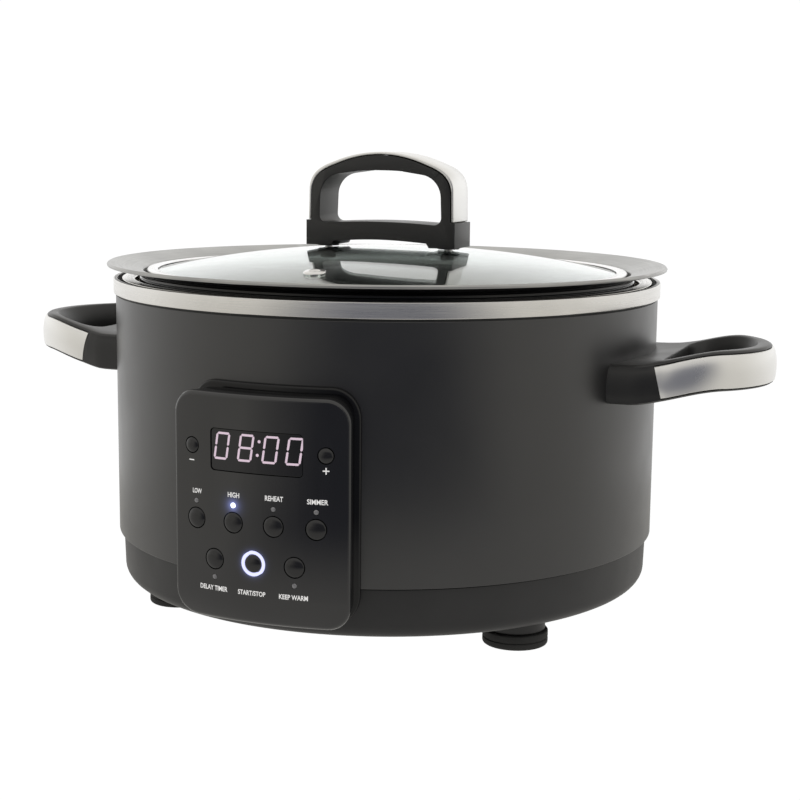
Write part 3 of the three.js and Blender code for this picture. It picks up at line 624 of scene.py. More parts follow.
def shownWhite(tree, tint):
    # plain white for the eye, the studio's tint for light and reflections
    path = addNode(tree, "ShaderNodeLightPath")
    white = shade(studio["shown"], studio["shown"], studio["shown"])
    return colourMix(tree, path.outputs["Is Camera Ray"], tint, white)


def setStudio():
    world = bpy.data.worlds.new("studio")
    bpy.context.scene.world = world
    world.use_nodes = True
    tree = world.node_tree
    direction = spotIn(tree, "Generated")
    height = addNode(tree, "ShaderNodeSeparateXYZ", {0: direction}).outputs["Z"]
    rise = rangeNode(tree, height, studio["aboveFrom"], studio["aboveTo"], kind="SMOOTHSTEP")
    room = colourMix(tree, rise, studioTint(tree, direction), shade(*studio["above"]))
    feed(tree, tree.nodes["Background"], {"Color": shownWhite(tree, room)})


lamps = [
    {"name": "overhead", "place": (0.1, 0.1, 1.5), "aim": (0, 0, 0.15), "size": 1.4, "power": 9},
    {"name": "leftSoft", "place": (-1.5, -0.2, 0.6), "aim": (0, 0, 0.1), "size": 1.0, "power": 4},
    {"name": "rightSoft", "place": (1.5, 0.2, 0.6), "aim": (0, 0, 0.1), "size": 1.0, "power": 4},
]


def setLamps():
    for row in lamps:
        data = bpy.data.lights.new(row["name"], "AREA")
        data.size = row["size"]
        data.energy = row["power"]
        ahead = Vector(row["aim"]) - Vector(row["place"])
        standing(data, row["place"], ahead).visible_glossy = False


def setFloor():
    clearSelection()
    bpy.ops.mesh.primitive_plane_add(size=40, location=(0, 0, 0))
    floor = named(bpy.context.object, "floor")
    tree, shader = insides("floorPaper")
    spot = spotIn(tree)
    along = vectorNode(tree, "NORMALIZE", spot)["Vector"]
    dim = addNode(tree, "ShaderNodeVectorMath", {0: studioTint(tree, along), "Scale": studio["floor"]},
                  operation="SCALE").outputs["Vector"]
    reach = vectorNode(tree, "LENGTH", spot)["Value"]
    far = rangeNode(tree, reach, studio["nearFull"], studio["nearEnd"], kind="SMOOTHSTEP")
    ground = colourMix(tree, far, shade(*studio["near"]), dim)
    feed(tree, shader, {"Emission Color": shownWhite(tree, ground)})
    coat(floor, "floorPaper")


bpy.context.scene.view_settings.view_transform = "Standard"
setCamera()
setStudio()
setLamps()
setFloor()
print("studio ready")


# body: shell, base, feet, band, gasket and well

bodySizes = {
    "shellEdge": 0.6,      # rolled edges of the painted sheet
    "baseCorner": 7,
    "baseFloor": 16.3,     # underside of the base tray, above the ground
    "bandEdge": 0.5,
    "wellMouthInset": 7.1,
    "wellWallInset": 8,
}


def makeShell():
    low, high = span("outer_shell")
    radius, bottom, top = high[0], low[2], high[2]
    edge = bodySizes["shellEdge"]
    profile = softened([
        (radius - 1.2, bottom), (radius, bottom, edge), (radius, top, edge), (radius - 1.2, top),
    ])
    shell = turnedPiece("bodyShell", profile, 256)
    fitted(shell, "shellPaint", "shell_paint", "outer_shell")
    return radius, top


def makeBase():
    low, high = span("base_tray")
    radius, top = high[0], high[2]
    padLow, padHigh = span("foot_pad_front_right")
    footX = (padLow[0] + padHigh[0]) / 2
    footY = (padLow[1] + padHigh[1]) / 2
    padRadius = (padHigh[0] - padLow[0]) / 2
    floor, corner = bodySizes["baseFloor"], bodySizes["baseCorner"]
    profile = softened([
        (0, floor), (radius - 0.8, floor, corner), (radius, top - 5.6), (radius - 0.8, top - 5.1),
        (radius - 0.8, top), (radius - 3, top), (radius - 3, floor + 2.5, 5), (0, floor + 2.5),
    ], 8)
    base = turnedPiece("baseTray", profile, 256, closed=False)
    bossProfile = softened([
        (0, low[2]), (padRadius - 1.5, low[2], 0.8), (padRadius - 1.5, floor + 1), (0, floor + 1),
    ])
    padProfile = softened([
        (0, 0), (4, 0), (4.6, 0.7), (5.6, 0.7), (6.2, 0), (9, 0), (9.6, 0.7), (10.6, 0.7), (11.2, 0),
        (padRadius, 0, 1.4), (padRadius, 3.2, 0.3), (padRadius - 0.6, 3.7), (padRadius, 4.2, 0.3),
        (padRadius, low[2] - 0.3, 0.8), (0, low[2] - 0.3),
    ])
    boss = turnedPiece("footBoss", bossProfile, 64, closed=False)
    pad = turnedPiece("footPad", padProfile, 64, closed=False)
    for name, sideX, sideY in (("front_right", 1, 1), ("rear_right", 1, -1),
                               ("front_left", -1, 1), ("rear_left", -1, -1)):
        place = moved(sideX * footX, sideY * footY)
        bossTwin = settle(copyOf(boss, "footBoss_" + name), place)
        fitted(bossTwin, "basePlastic", "base_plastic")
        padTwin = settle(copyOf(pad, "footPad_" + name), place)
        fitted(padTwin, "footRubber", "foot_rubber", "foot_pad_" + name)
    bpy.data.objects.remove(boss)
    bpy.data.objects.remove(pad)
    fitted(base, "basePlastic", "base_plastic", "base_tray")


def makeBand(shellTop):
    high = span("steel_band")[1]
    outer, top = high[0], high[2]
    bottom = shellTop + 1
    edge = bodySizes["bandEdge"]
    profile = softened([
        (outer - 4.2, shellTop - 7), (outer - 3, shellTop - 7), (outer - 3, bottom + 0.4),
        (outer - 2, bottom + 0.4), (outer - 2, bottom), (outer, bottom, edge), (outer, top, edge),
        (outer - 2.2, top, 0.3), (outer - 2.2, top - 1.7), (outer - 9, top - 1.7), (outer - 9, top - 2.9),
        (outer - 4.2, top - 2.9),
    ])
    band = turnedPiece("steelBand", profile, 256)
    fitted(band, "bandSteel", "band_steel", "steel_band")
    gasketLow, gasketHigh = span("rim_gasket")
    gasketRadius = gasketHigh[0]
    gasketProfile = softened([
        (gasketRadius - 1.8, gasketLow[2]), (gasketRadius, gasketLow[2]),
        (gasketRadius, gasketHigh[2], 0.7), (gasketRadius - 1.8, gasketHigh[2], 0.7),
    ])
    gasket = turnedPiece("rimGasket", gasketProfile, 256)
    fitted(gasket, "sealRubber", "seal_rubber", "rim_gasket")
    # a dark bead fills the step between shell and band: a painted shadow line in the step
    bead = turnedPiece("bandShadowBead", softened([
        (outer - 3, shellTop - 0.5), (outer - 1.6, shellTop - 0.5), (outer - 1.4, shellTop + 0.5, 0.3),
        (outer - 1.6, shellTop + 1.2), (outer - 3, shellTop + 1.2),
    ]), 256)
    fitted(bead, "sealRubber", "seal_rubber")


def makeWell():
    low, high = span("heating_well")
    outer, top = high[0], high[2]
    floor = low[2]
    mouth = outer - bodySizes["wellMouthInset"]
    wall = mouth - bodySizes["wellWallInset"]
    profile = softened([
        (13, floor), (wall + 1.4, floor, 8), (wall + 1.4, top - 16), (mouth + 1.4, top - 9),
        (mouth + 1.4, top - 1.4, 0.8), (outer, top - 1.4, 0.5), (outer, top, 0.6), (mouth, top, 1.6),
        (mouth, top - 9, 2), (wall, top - 16, 2), (wall, floor + 1.4, 7), (13, floor + 1.4),
    ], 6)
    well = turnedPiece("heatingWell", profile, 192)
    fitted(well, "wellSteel", "well_metal", "heating_well")


shellRadius, shellTop = makeShell()
makeBase()
makeBand(shellTop)
makeWell()
print("body ready")


# pan

# inner radii of the bowl, of the neck under the rim and of the rim's seat, and the height of the ledge
panSizes = {"bowl": 126, "neck": 137, "seat": 134, "ledge": 180}


def makePan():
    low, high = span("pan")
    outer, top, floor = high[0], high[2], low[2]
    bowl, neck, seat, ledge = (panSizes[key] for key in ("bowl", "neck", "seat", "ledge"))
    profile = softened([
        (0, floor), (124.4, floor, 14), (bowl + 3, ledge - 7), (neck, ledge - 3, 2),
        (neck, ledge + 1.6, 0.5), (neck - 0.7, ledge + 2.1, 0.4), (neck - 0.7, top - 6, 1.5),
        (neck + 2.4, top - 5.2, 1.6), (outer - 0.3, top - 1.9, 0.4), (outer, top - 0.9, 0.5),
        (outer - 0.9, top, 0.4), (seat + 1.2, top - 4, 1.6), (seat, ledge, 1.2), (bowl, ledge, 2),
        (121.4, floor + 3, 12), (0, floor + 3),
    ], 6)
    pan = turnedPiece("panBody", profile, 256, closed=False)
    fitted(pan, "panCoat", "pan_metal", "pan", body="pan")
    coat(pan, "panCoat", "panMetal", "panBlack")
    for face in pan.data.polygons:
        x, y, z = face.center / mm
        radius = math.hypot(x, y)
        if radius > neck - 3 and z > top - 6 and (face.normal.z > 0 or radius > outer - 2.5):
            face.material_index = 1
        elif face.normal.x * x + face.normal.y * y > 0 or face.normal.z < 0:
            face.material_index = 2 if radius > 100 else 1


makePan()
print("pan ready")


# lid

lidSizes = {"glassThick": 3.5, "domeRise": 13.5, "ventRing": 6, "ventHole": 1.9}


def makeLid():
    ringLow, ringHigh = span("lid_ring")
    radius, bottom, top = ringHigh[0], ringLow[2], ringHigh[2]
    ring = turnedPiece("lidRing", softened([
        (radius - 6, bottom), (radius, bottom, 0.8), (radius, top, 1.7), (radius - 2.2, top, 0.6),
        (radius - 6, top - 0.3, 0.3), (radius - 6, top - 0.9, 0.3), (radius - 2, top - 0.9),
        (radius - 2, bottom + 0.7), (radius - 6, bottom + 0.7),
    ]), 256)
    fitted(ring, "lidSteel", "lid_steel", "lid_ring", body="lid")
    glassHigh = span("lid_glass")[1]
    edge, crown = glassHigh[0], glassHigh[2]
    dome = (edge ** 2 + lidSizes["domeRise"] ** 2) / (2 * lidSizes["domeRise"])
    centre = crown - dome
    thick = lidSizes["glassThick"]
    radii = [edge * k / 28 for k in range(29)]

    def height(r, drop=0):
        return centre + math.sqrt(dome ** 2 - r ** 2) - drop

    under = [(r, height(r, thick)) for r in radii[:-1]] + [(edge - 0.6, height(edge - 0.6, thick))]
    over = [(edge - 0.6, height(edge - 0.6))] + [(r, height(r)) for r in reversed(radii[:-1])]
    glass = turnedPiece("lidGlass", under + [(edge, height(edge, thick / 2))] + over, 256, closed=False)
    ventLow, ventHigh = span("vent_eyelet")
    ventSpot = (ventLow[1] + ventHigh[1]) / 2 + 0.35
    tilt = math.asin(-ventSpot / dome)
    place = moved(y=ventSpot, z=height(-ventSpot)) @ Matrix.Rotation(tilt, 4, "X")
    holes = []
    for x, y, r in ((0, ventSpot, 3.4), (36, 0, 2.4), (-36, 0, 2.4)):
        clearSelection()
        bpy.ops.mesh.primitive_cylinder_add(vertices=32, radius=r * mm, depth=0.03)
        turn = place if y else moved(x, 0, height(36))
        holes.append(settle(bpy.context.object, turn))
    cutAway(glass, *holes)
    shadeSoft(glass, 30)
    fitted(glass, "lidGlass", "lid_glass", "lid_glass", body="lid")
    bore, flange = lidSizes["ventHole"], lidSizes["ventRing"]
    vent = turnedPiece("ventEyelet", softened([
        (bore, -thick - 1.4, 0.2), (flange - 1, -thick - 1.4, 0.3), (flange - 1, -thick - 0.4, 0.2),
        (3.2, -thick - 0.4), (3.2, 0.15), (flange, 0.15, 0.25), (flange - 0.3, 1.0, 0.5),
        (bore + 0.8, 1.35, 0.6), (bore, 0.4, 0.3),
    ]), 64)
    settle(vent, place)
    fitted(vent, "lidSteel", "lid_steel", "vent_eyelet", body="lid")


makeLid()
print("lid ready")


# lid handle

gripSizes = {
    "blockTop": 13.7, "barBottom": 2.4, "barTop": 12.6, "openHalf": 36.1, "openTop": 41.4,
    "trimThick": 1.5, "trimStep": 1.0, "arch": 1.3, "scoop": 3.6,
}


def curved(points, steps=8):
    # a cubic curve through its four control points
    a, b, c, d = (Vector(p) for p in points)
    return [tuple((1 - t) ** 3 * a + 3 * t * (1 - t) ** 2 * b + 3 * t * t * (1 - t) * c + t ** 3 * d)
            for t in (k / steps for k in range(1, steps + 1))]


def halfLoop(half, top, low):
    # right half of the loop from its foot up to the middle of the top
    edge = half - 15
    third = (0 - edge) / 3
    shoulder, crest = (half - 0.3, top - 20), (edge, top - 5.5)
    rise = curved([shoulder, (half - 1, top - 11), (half - 8, top - 8), crest], 10)
    over = curved([crest, (edge + third, top - 1.83), (edge + 2 * third, top - 0.1), (0, top)], 10)
    return [(half, low), shoulder] + rise + over


def mirrored(points):
    return points + [(-x, z) for x, z in reversed(points[:-1])]


def makeGrip():
    low, high = span("lid_handle")
    trimLow, trimHigh = span("lid_handle_trim")
    base, half, width = low[2], high[0], high[1] - low[1]
    top = trimHigh[2] - base
    inner = half - gripSizes["trimStep"] - gripSizes["trimThick"] - 0.3
    block = gripSizes["blockTop"]
    arch = gripSizes["arch"]
    right = [(half, 0), (half, block), (inner, block)]
    right += halfLoop(inner, top - gripSizes["trimThick"] - 0.3, block + 0.2)[1:]
    outline = mirrored(right)
    under = [(-29, 0), (-27.5, gripSizes["barBottom"])]
    under += [(-27.5 + 55 * k / 12, gripSizes["barBottom"] + arch * math.sin(math.pi * k / 12))
              for k in range(1, 12)]
    under += [(27.5, gripSizes["barBottom"]), (29, 0)]
    grip = slabPiece("lidGrip", outline + under, width)
    settle(grip, moved(y=-width / 2, z=base))
    openHalf, openTop, barTop = gripSizes["openHalf"], gripSizes["openTop"], gripSizes["barTop"]
    sill = [(-openHalf + 2 * openHalf * k / 12, barTop - 0.3 + arch * math.sin(math.pi * k / 12))
            for k in range(2, 11)]
    crest = [(14 * math.cos(math.pi * k / 8), openTop - 0.4 + 0.6 * math.sin(math.pi * k / 8))
             for k in range(9)]
    hole = softened(sill + [(openHalf, barTop - 0.3, 4), (openHalf - 1, openTop - 3.4, 13)] + crest
                    + [(1 - openHalf, openTop - 3.4, 13), (-openHalf, barTop - 0.3, 4)], 10)
    cutter = slabPiece("gripHole", hole, width * 2)
    settle(cutter, moved(y=-width, z=base))
    cutAway(grip, cutter)

    def roundOpening(a, b):
        flat = abs(a.y - b.y) < 0.01 and abs(abs(a.y) - width / 2) < 0.01
        return flat and all(abs(p.x) < openHalf + 0.2 and base + barTop - 1 < p.z < base + openTop + 0.6
                            for p in (a, b))

    # wide scoop round the opening, small rounds elsewhere
    bevelEdges(grip, roundOpening, gripSizes["scoop"], 6, clamp_overlap=True)
    softEdges(grip, 0.9, 3, 50)
    shadeSoft(grip, 32)
    fitted(grip, "handlePlastic", "handle_plastic", "lid_handle", body="lid")
    # bright strip over the top
    outerHalf = half - gripSizes["trimStep"]
    outer = mirrored(halfLoop(outerHalf, top, block + 0.3))
    thick = gripSizes["trimThick"]
    innerLine = mirrored(halfLoop(outerHalf - thick, top - thick, block + 0.3))
    trimWidth = trimHigh[1] - trimLow[1]
    strip = slabPiece("gripTrim", outer + innerLine[::-1], trimWidth)
    settle(strip, moved(y=-trimWidth / 2, z=base))
    softEdges(strip, 0.6, 3, 50)
    shadeSoft(strip, 32)
    fitted(strip, "chrome", "trim_chrome", "lid_handle_trim", body="lid")
    for side, name in ((1, "right"), (-1, "left")):
        sealLow, sealHigh = span("lid_handle_seal_" + name)
        foot, head = sealLow[2] - 0.1, sealHigh[2] + 0.2
        seal = turnedPiece("gripSeal_" + name, softened([
            (2.3, foot), (6.2, foot, 0.2), (5.6, head), (2.3, head),
        ]), 48)
        settle(seal, moved(side * 36))
        fitted(seal, "sealRubber", "seal_rubber", "lid_handle_seal_" + name, body="lid")


makeGrip()
print("lid handle ready")


# side handles

sideSizes = {
    "rootHalf": 54, "noseHalf": 51.5, "levelEnd": 156, "noseStart": 167, "reach": 48.5,
    "height": 20.2, "liftFrom": 150, "liftTo": 196, "lift": 8,
    "bulge": 4.2,           # how far the wall leans in at the top
    "bulgeMiddle": 8.5,     # height at which it stands out furthest
    "trimLow": 1.5, "trimHigh": 18.4, "trimProud": 0.45, "trimThick": 1.5, "trimStart": 163.5,
    "trimSlant": 4.5, "lip": 0.55, "groove": 1.3,
    "holeLeft": 165, "holeHalf": 36.5, "holeCurve": 173, "holeReach": 28.5, "flare": 4.6,
}


def liftAt(x):
    t = min(1, max(0, (x - sideSizes["liftFrom"]) / (sideSizes["liftTo"] - sideSizes["liftFrom"])))
    return sideSizes["lift"] * t * t * (3 - 2 * t)


def plannedPath(samples=400):
    # plan of the handle's outer wall from one root to the other, and the way run at each point
    s = sideSizes
    points = [(s["levelEnd"], s["rootHalf"])]
    for k in range(samples + 1):
        a = math.pi / 2 - math.pi * k / samples
        points.append((s["noseStart"] + s["reach"] * math.cos(a), s["noseHalf"] * math.sin(a)))
    points.append((s["levelEnd"], -s["rootHalf"]))
    spots = [Vector(point) for point in points]
    lengths = [0]
    for a, b in zip(spots, spots[1:]):
        lengths.append(lengths[-1] + (b - a).length)
    return spots, lengths


pathSpots, pathLengths = plannedPath()


def onPath(distance, inset):
    total = pathLengths[-1]
    distance = min(total - 1e-6, max(0, distance))
    k = next(i for i in range(1, len(pathLengths)) if pathLengths[i] >= distance)
    a, b = pathSpots[k - 1], pathSpots[k]
    t = (distance - pathLengths[k - 1]) / (pathLengths[k] - pathLengths[k - 1])

    def normalAt(i):
        before = pathSpots[max(0, i - 1)]
        after = pathSpots[min(len(pathSpots) - 1, i + 1)]
        along = (after - before).normalized()
        return Vector((-along.y, along.x))

    normal = normalAt(k - 1).lerp(normalAt(k), t).normalized()
    spot = a.lerp(b, t)
    return spot - normal * inset


def leanIn(z):
    s = sideSizes
    if z >= s["bulgeMiddle"]:
        t = (z - s["bulgeMiddle"]) / (s["height"] - s["bulgeMiddle"])
        return s["bulge"] * (1 - math.sqrt(max(0, 1 - (0.97 * t) ** 2)))
    t = (s["bulgeMiddle"] - z) / s["bulgeMiddle"]
    return 0.45 * s["bulge"] * (1 - math.sqrt(max(0, 1 - (0.93 * t) ** 2)))


def outerRing(z, inset, groove=0.0):
    s = sideSizes
    total = pathLengths[-1]
    count = 76
    ring = []
    for k in range(count + 1):
        distance = total * k / count
        slant = s["trimStart"] - s["levelEnd"] + s["trimSlant"] * (1 - z / s["height"]) + 0.7
        reach = min(distance, total - distance) - slant
        depth = inset + groove * min(1, max(0, reach / 1.2))
        spot = onPath(distance, depth)
        ring.append((spot.x, spot.y, z))
    # from the middle of the root out along +Y, round the nose and back
    wall = s["rootHalf"] - inset
    across = [wall * math.cos(math.pi * k / 16) for k in range(17)]
    arc = [(math.sqrt((shellRadius - 0.5) ** 2 - y ** 2), y) for y in across]
    rootUp = [(x, y, z) for x, y in arc[:9]][::-1]
    rootDown = [(x, y, z) for x, y in arc[8:]][::-1]
    ahead = [(s["levelEnd"] - 4 * k, wall, z) for k in (3, 2, 1)]
    return rootUp + ahead + ring + [(x, -y, z) for x, y, z in reversed(ahead)] + rootDown[:-1]


def innerRing(z, flare, rootShift, count):
    s = sideSizes
    left, half = s["holeLeft"] - rootShift, s["holeHalf"] + flare
    corner = 7 + flare * 0.6
    nose = s["holeReach"] + flare
    rootUp = [(left, (half - corner) * k / 8) for k in range(9)]
    turn = arcPoints((left + corner, half - corner), corner, 180, 90, 6)[1:]
    centre = left + corner
    sweep = count - len(rootUp) * 2 - len(turn) * 2 + 1
    curve = []
    for k in range(1, sweep + 1):
        a = math.pi / 2 - math.pi * k / (sweep + 1)
        curve.append((centre + 1 + (s["holeCurve"] + nose - centre - 1) * math.cos(a), half * math.sin(a)))
    up = rootUp + turn
    down = [(x, -y) for x, y in reversed(up)][:-1]
    return [(x, y, z) for x, y in up + curve + down]


def makeSideHandle():
    s = sideSizes
    tall, lip = s["height"], s["lip"]
    groove = s["groove"]
    rings = [outerRing(0, leanIn(0) + 1.6), outerRing(0.25, leanIn(0.25) + 0.7),
             outerRing(0.9, leanIn(0.9) + 0.1)]
    low, high = s["trimLow"] - lip, s["trimHigh"] + lip
    rings += [outerRing(low, leanIn(low)), outerRing(low + 0.05, leanIn(low), groove)]
    for k in range(1, 8):
        z = low + (high - low) * k / 8
        rings.append(outerRing(z, leanIn(z), groove))
    rings += [outerRing(high - 0.05, leanIn(high), groove), outerRing(high, leanIn(high))]
    rings += [outerRing(tall - 0.6, leanIn(tall - 0.6) + 0.1), outerRing(tall - 0.15, leanIn(tall) + 0.25),
              outerRing(tall, leanIn(tall) + 1.0)]
    count = len(rings[0])
    flare = s["flare"]
    rings += [innerRing(tall, flare + 0.9, 1.4, count), innerRing(tall - 0.25, flare + 0.2, 0.9, count),
              innerRing(tall - 0.9, flare - 0.3, 0.5, count)]
    for k in range(1, 6):
        t = k / 5
        rings.append(innerRing(tall - 0.9 - 12 * t, (flare - 0.3) * (1 - math.sin(math.pi / 2 * t)),
                               0.5 * (1 - t), count))
    rings += [innerRing(1.6, 0.0, 0, count), innerRing(0.5, 0.35, 0.3, count), innerRing(0, 1.4, 1.2, count)]
    rings.append(rings[0])
    lowBox = span("side_handle_right")[0]
    lifted = [[(x, y, z + liftAt(x) + lowBox[2]) for x, y, z in ring] for ring in rings]
    return loftedPiece("sideHandle", lifted), lowBox[2]


def makeSideTrim(bottom):
    s = sideSizes
    low, high = s["trimLow"], s["trimHigh"]
    proud, thick = s["trimProud"], s["trimThick"]
    section = []
    steps = 7
    for k in range(steps + 1):
        z = low + (high - low) * k / steps
        section.append((z, leanIn(z) - proud))
    section[0] = (low, section[0][1] + 0.35)
    section.insert(1, (low + 0.3, leanIn(low + 0.3) - proud))
    section[-1] = (high, section[-1][1] + 0.35)
    section.insert(-1, (high - 0.3, leanIn(high - 0.3) - proud))
    for k in range(steps + 1):
        z = high - (high - low) * k / steps
        section.append((z, leanIn(z) - proud + thick))
    total = pathLengths[-1]
    count = 80
    rings = []
    for k in range(count + 1):
        ring = []
        for z, inset in section:
            start = s["trimStart"] - s["levelEnd"] + s["trimSlant"] * (1 - z / s["height"])
            distance = start + (total - 2 * start) * k / count
            spot = onPath(distance, inset + (0.3 if k in (0, count) else 0))
            ring.append((spot.x, spot.y, z + liftAt(spot.x) + bottom))
        rings.append(ring)
    return loftedPiece("sideTrim", rings, capped=True)


def makeSideHandles():
    handle, bottom = makeSideHandle()
    trim = makeSideTrim(bottom)
    for name, angle in (("right", 0), ("left", math.pi)):
        turn = Matrix.Rotation(angle, 4, "Z")
        grip = settle(copyOf(handle, "sideGrip_" + name), turn)
        fitted(grip, "handlePlastic", "handle_plastic", "side_handle_" + name)
        strip = settle(copyOf(trim, "sideTrim_" + name), turn)
        fitted(strip, "chrome", "trim_chrome", "handle_trim_" + name)
    bpy.data.objects.remove(handle)
    bpy.data.objects.remove(trim)


makeSideHandles()
print("side handles ready")


# control panel

panelSizes = {
    "half": 47.25, "corner": 12, "thick": 2.6, "edge": 2.2, "rollHeight": 15, "roll": 3.0,
    "windowHalf": 24.3, "windowCorner": 2.2, "pitch": 21.2, "shift": -1.1, "adjust": 35.3,
    "podInset": 0.4, "podGap": 0.3, "podWall": 2.5, "podBack": 21.1,
    "flangeOut": 3.6, "flangeFront": 15.6, "lensGap": 0.25,
    "ringHole": 6.4, "beadHole": 1.35, "keyGap": 0.45,      # holes in the fascia
    "rollPower": 2.2,                                       # how late the lower edge starts to roll in
    "sliceWidth": 1.5,                                      # of the strips a bent piece is made of
}


def fasciaMeasures():
    low, high = span("control_fascia")
    windowLow, windowHigh = span("display_lens")
    return {
        "radius": -low[1], "bottom": low[2], "top": high[2],
        "windowBottom": windowLow[2] - 0.3, "windowTop": windowHigh[2] + 0.3,
    }


panel = fasciaMeasures()


def roundedBox(half, bottom, top, corner):
    return softened([(-half, bottom, corner), (half, bottom, corner), (half, top, corner),
                     (-half, top, corner)], 10)


def buttonPlaces():
    rows = []
    for name in ("minus", "plus", "low", "high", "reheat", "simmer", "delay", "start", "warm"):
        low, high = span(name + "_button")
        rows.append({"name": name, "height": (low[2] + high[2]) / 2, "radius": (high[2] - low[2]) / 2 - 1})
    adjust, shift = panelSizes["adjust"], panelSizes["shift"]
    for row, arc in zip(rows, (-adjust, adjust)):
        row["arc"] = arc
    for row, steps in zip(rows[2:], (-1.5, -0.5, 0.5, 1.5, -1, 0, 1)):
        row["arc"] = shift + steps * panelSizes["pitch"]
    return rows


buttons = buttonPlaces()
buttonArcs = {row["name"]: row["arc"] for row in buttons}


def lightPlaces():
    rows = []
    for name in ("low", "high", "reheat", "simmer", "delay", "warm"):
        low, high = span(name + "_light")
        rows.append({"name": name, "arc": buttonArcs[name], "height": (low[2] + high[2]) / 2})
    return rows


lights = lightPlaces()


def rodAcross(name, radius, arc, height, depth=20, vertices=48):
    clearSelection()
    bpy.ops.mesh.primitive_cylinder_add(vertices=vertices, radius=radius * mm, depth=depth * mm,
                                        location=(arc * mm, 0, height * mm), rotation=(math.pi / 2, 0, 0))
    return settle(named(bpy.context.object, name))


def smoothFace(plate):
    # shade the front as the true curve, whatever the cuts left in its faces
    mesh = plate.data
    bottom, roll, power = panel["bottom"], panelSizes["rollHeight"], panelSizes["rollPower"]
    normals = [corner.vector.copy() for corner in mesh.corner_normals]
    facing = []
    for vertex in mesh.vertices:
        spot = vertex.co
        down = max(0, 1 - (spot.z / mm - bottom) / roll)
        flat = Vector((spot.x, spot.y, 0))
        off = flat.length / mm - (panel["radius"] - panelSizes["roll"] * down ** power)
        lean = panelSizes["roll"] / roll * power * down ** (power - 1)
        facing.append((flat.normalized() - Vector((0, 0, lean))).normalized() if abs(off) < 0.04 else None)
    for face in mesh.polygons:
        if all(facing[index] for index in face.vertices):
            for loop in face.loop_indices:
                normals[loop] = facing[mesh.loops[loop].vertex_index]
    mesh.normals_split_custom_set(normals)


def frontRound(obj, width, segments):
    bevelEdges(obj, lambda a, b: a.y < 0.01 and b.y < 0.01, width, segments)


def wrapRound(obj, half, rollFrom=None, steps=8, depth=math.inf):
    # sliced so that it can bend, its lower edge rolled in as far back as depth, and bent round
    sliced(obj, 0, evenly(-half, half, panelSizes["sliceWidth"]))
    if rollFrom is not None:
        roll = panelSizes["rollHeight"]
        sliced(obj, 2, [rollFrom + roll * k / steps for k in range(1, steps + 1)])
        for vertex in obj.data.vertices:
            down = 1 - (vertex.co.z / mm - rollFrom) / roll
            if down > 0 and vertex.co.y < depth * mm:
                vertex.co.y += panelSizes["roll"] * down ** panelSizes["rollPower"] * mm
    bentRound(obj, panel["radius"])


def makeFascia():
    half, thick = panelSizes["half"], panelSizes["thick"]
    bottom, top = panel["bottom"], panel["top"]
    plate = slabPiece("controlFascia", roundedBox(half, bottom, top, panelSizes["corner"]), thick)
    frontRound(plate, panelSizes["edge"], 6)
    window = slabPiece("windowCut", roundedBox(
        panelSizes["windowHalf"], panel["windowBottom"], panel["windowTop"], panelSizes["windowCorner"]), 20)
    settle(window, moved(y=-10))
    cutters = [window]
    for row in buttons:
        radius = panelSizes["ringHole"] if row["name"] == "start" else row["radius"] + panelSizes["keyGap"]
        cutters.append(rodAcross("hole", radius, row["arc"], row["height"]))
    for row in lights:
        cutters.append(rodAcross("hole", panelSizes["beadHole"], row["arc"], row["height"], vertices=24))
    cutAway(plate, joined(*cutters))
    editAll(plate)
    bpy.ops.mesh.remove_doubles(threshold=0.01 * mm)
    bpy.ops.mesh.dissolve_degenerate(threshold=0.01 * mm)
    leaveEdit()
    wrapRound(plate, half, bottom)
    applyModifier(plate, "WEIGHTED_NORMAL", keep_sharp=True, weight=50)
    smoothFace(plate)
    fitted(plate, "fasciaGloss", "fascia_gloss", "control_fascia")


def makePod():
    inset, corner, wall = panelSizes["podInset"], panelSizes["corner"], panelSizes["podWall"]
    half = panelSizes["half"] - inset
    bottom, top = panel["bottom"] + inset, panel["top"] - inset
    front = panelSizes["thick"] + panelSizes["podGap"]
    depth = panelSizes["podBack"] - front
    pod = slabPiece("controlPod", roundedBox(half, bottom, top, corner - inset), depth)
    settle(pod, moved(y=front))
    room = slabPiece("podRoom", roundedBox(half - wall, bottom + wall, top - wall, corner - wall), 40)
    settle(room, moved(y=-5))
    cutAway(pod, room)
    softEdges(pod, 0.4, 2, 50)
    wrapRound(pod, half, bottom, 4, 12)
    shadeSoft(pod, 40)
    fitted(pod, "podGloss", "pod_plastic", "control_pod")
    out = panelSizes["flangeOut"]
    flange = slabPiece("podFlange", roundedBox(half + out, bottom - 1.5, top + out, corner + out), 5.6)
    front = panelSizes["flangeFront"]
    settle(flange, moved(y=front))
    bevelEdges(flange, lambda a, b: max(a.y, b.y) < front + 0.1, 1.6, 5)
    wrapRound(flange, half + out)
    shadeSoft(flange, 40)
    fitted(flange, "podGloss", "pod_plastic")


def makeLens():
    gap = panelSizes["lensGap"]
    half = panelSizes["windowHalf"] - gap
    bottom, top = panel["windowBottom"] + gap, panel["windowTop"] - gap
    lens = slabPiece("displayLens", roundedBox(half, bottom, top, 2), 1.8)
    frontRound(lens, 0.3, 3)
    settle(lens, moved(y=0.4))
    wrapRound(lens, half)
    applyModifier(lens, "WEIGHTED_NORMAL", keep_sharp=True, weight=50)
    fitted(lens, "lensGloss", "lens_gloss", "display_lens")


digitSizes = {
    "tall": 13.4, "wide": 7.8, "stroke": 1.15, "gap": 0.42, "slant": 8.5, "depth": 0.25, "soft": 0.18,
    "centres": (-17.9, -4.9, 8.0, 20.0), "middle": 112.4,
    "colon": 1.7, "dots": (116.0, 109.4), "dotRadius": 0.75,
}


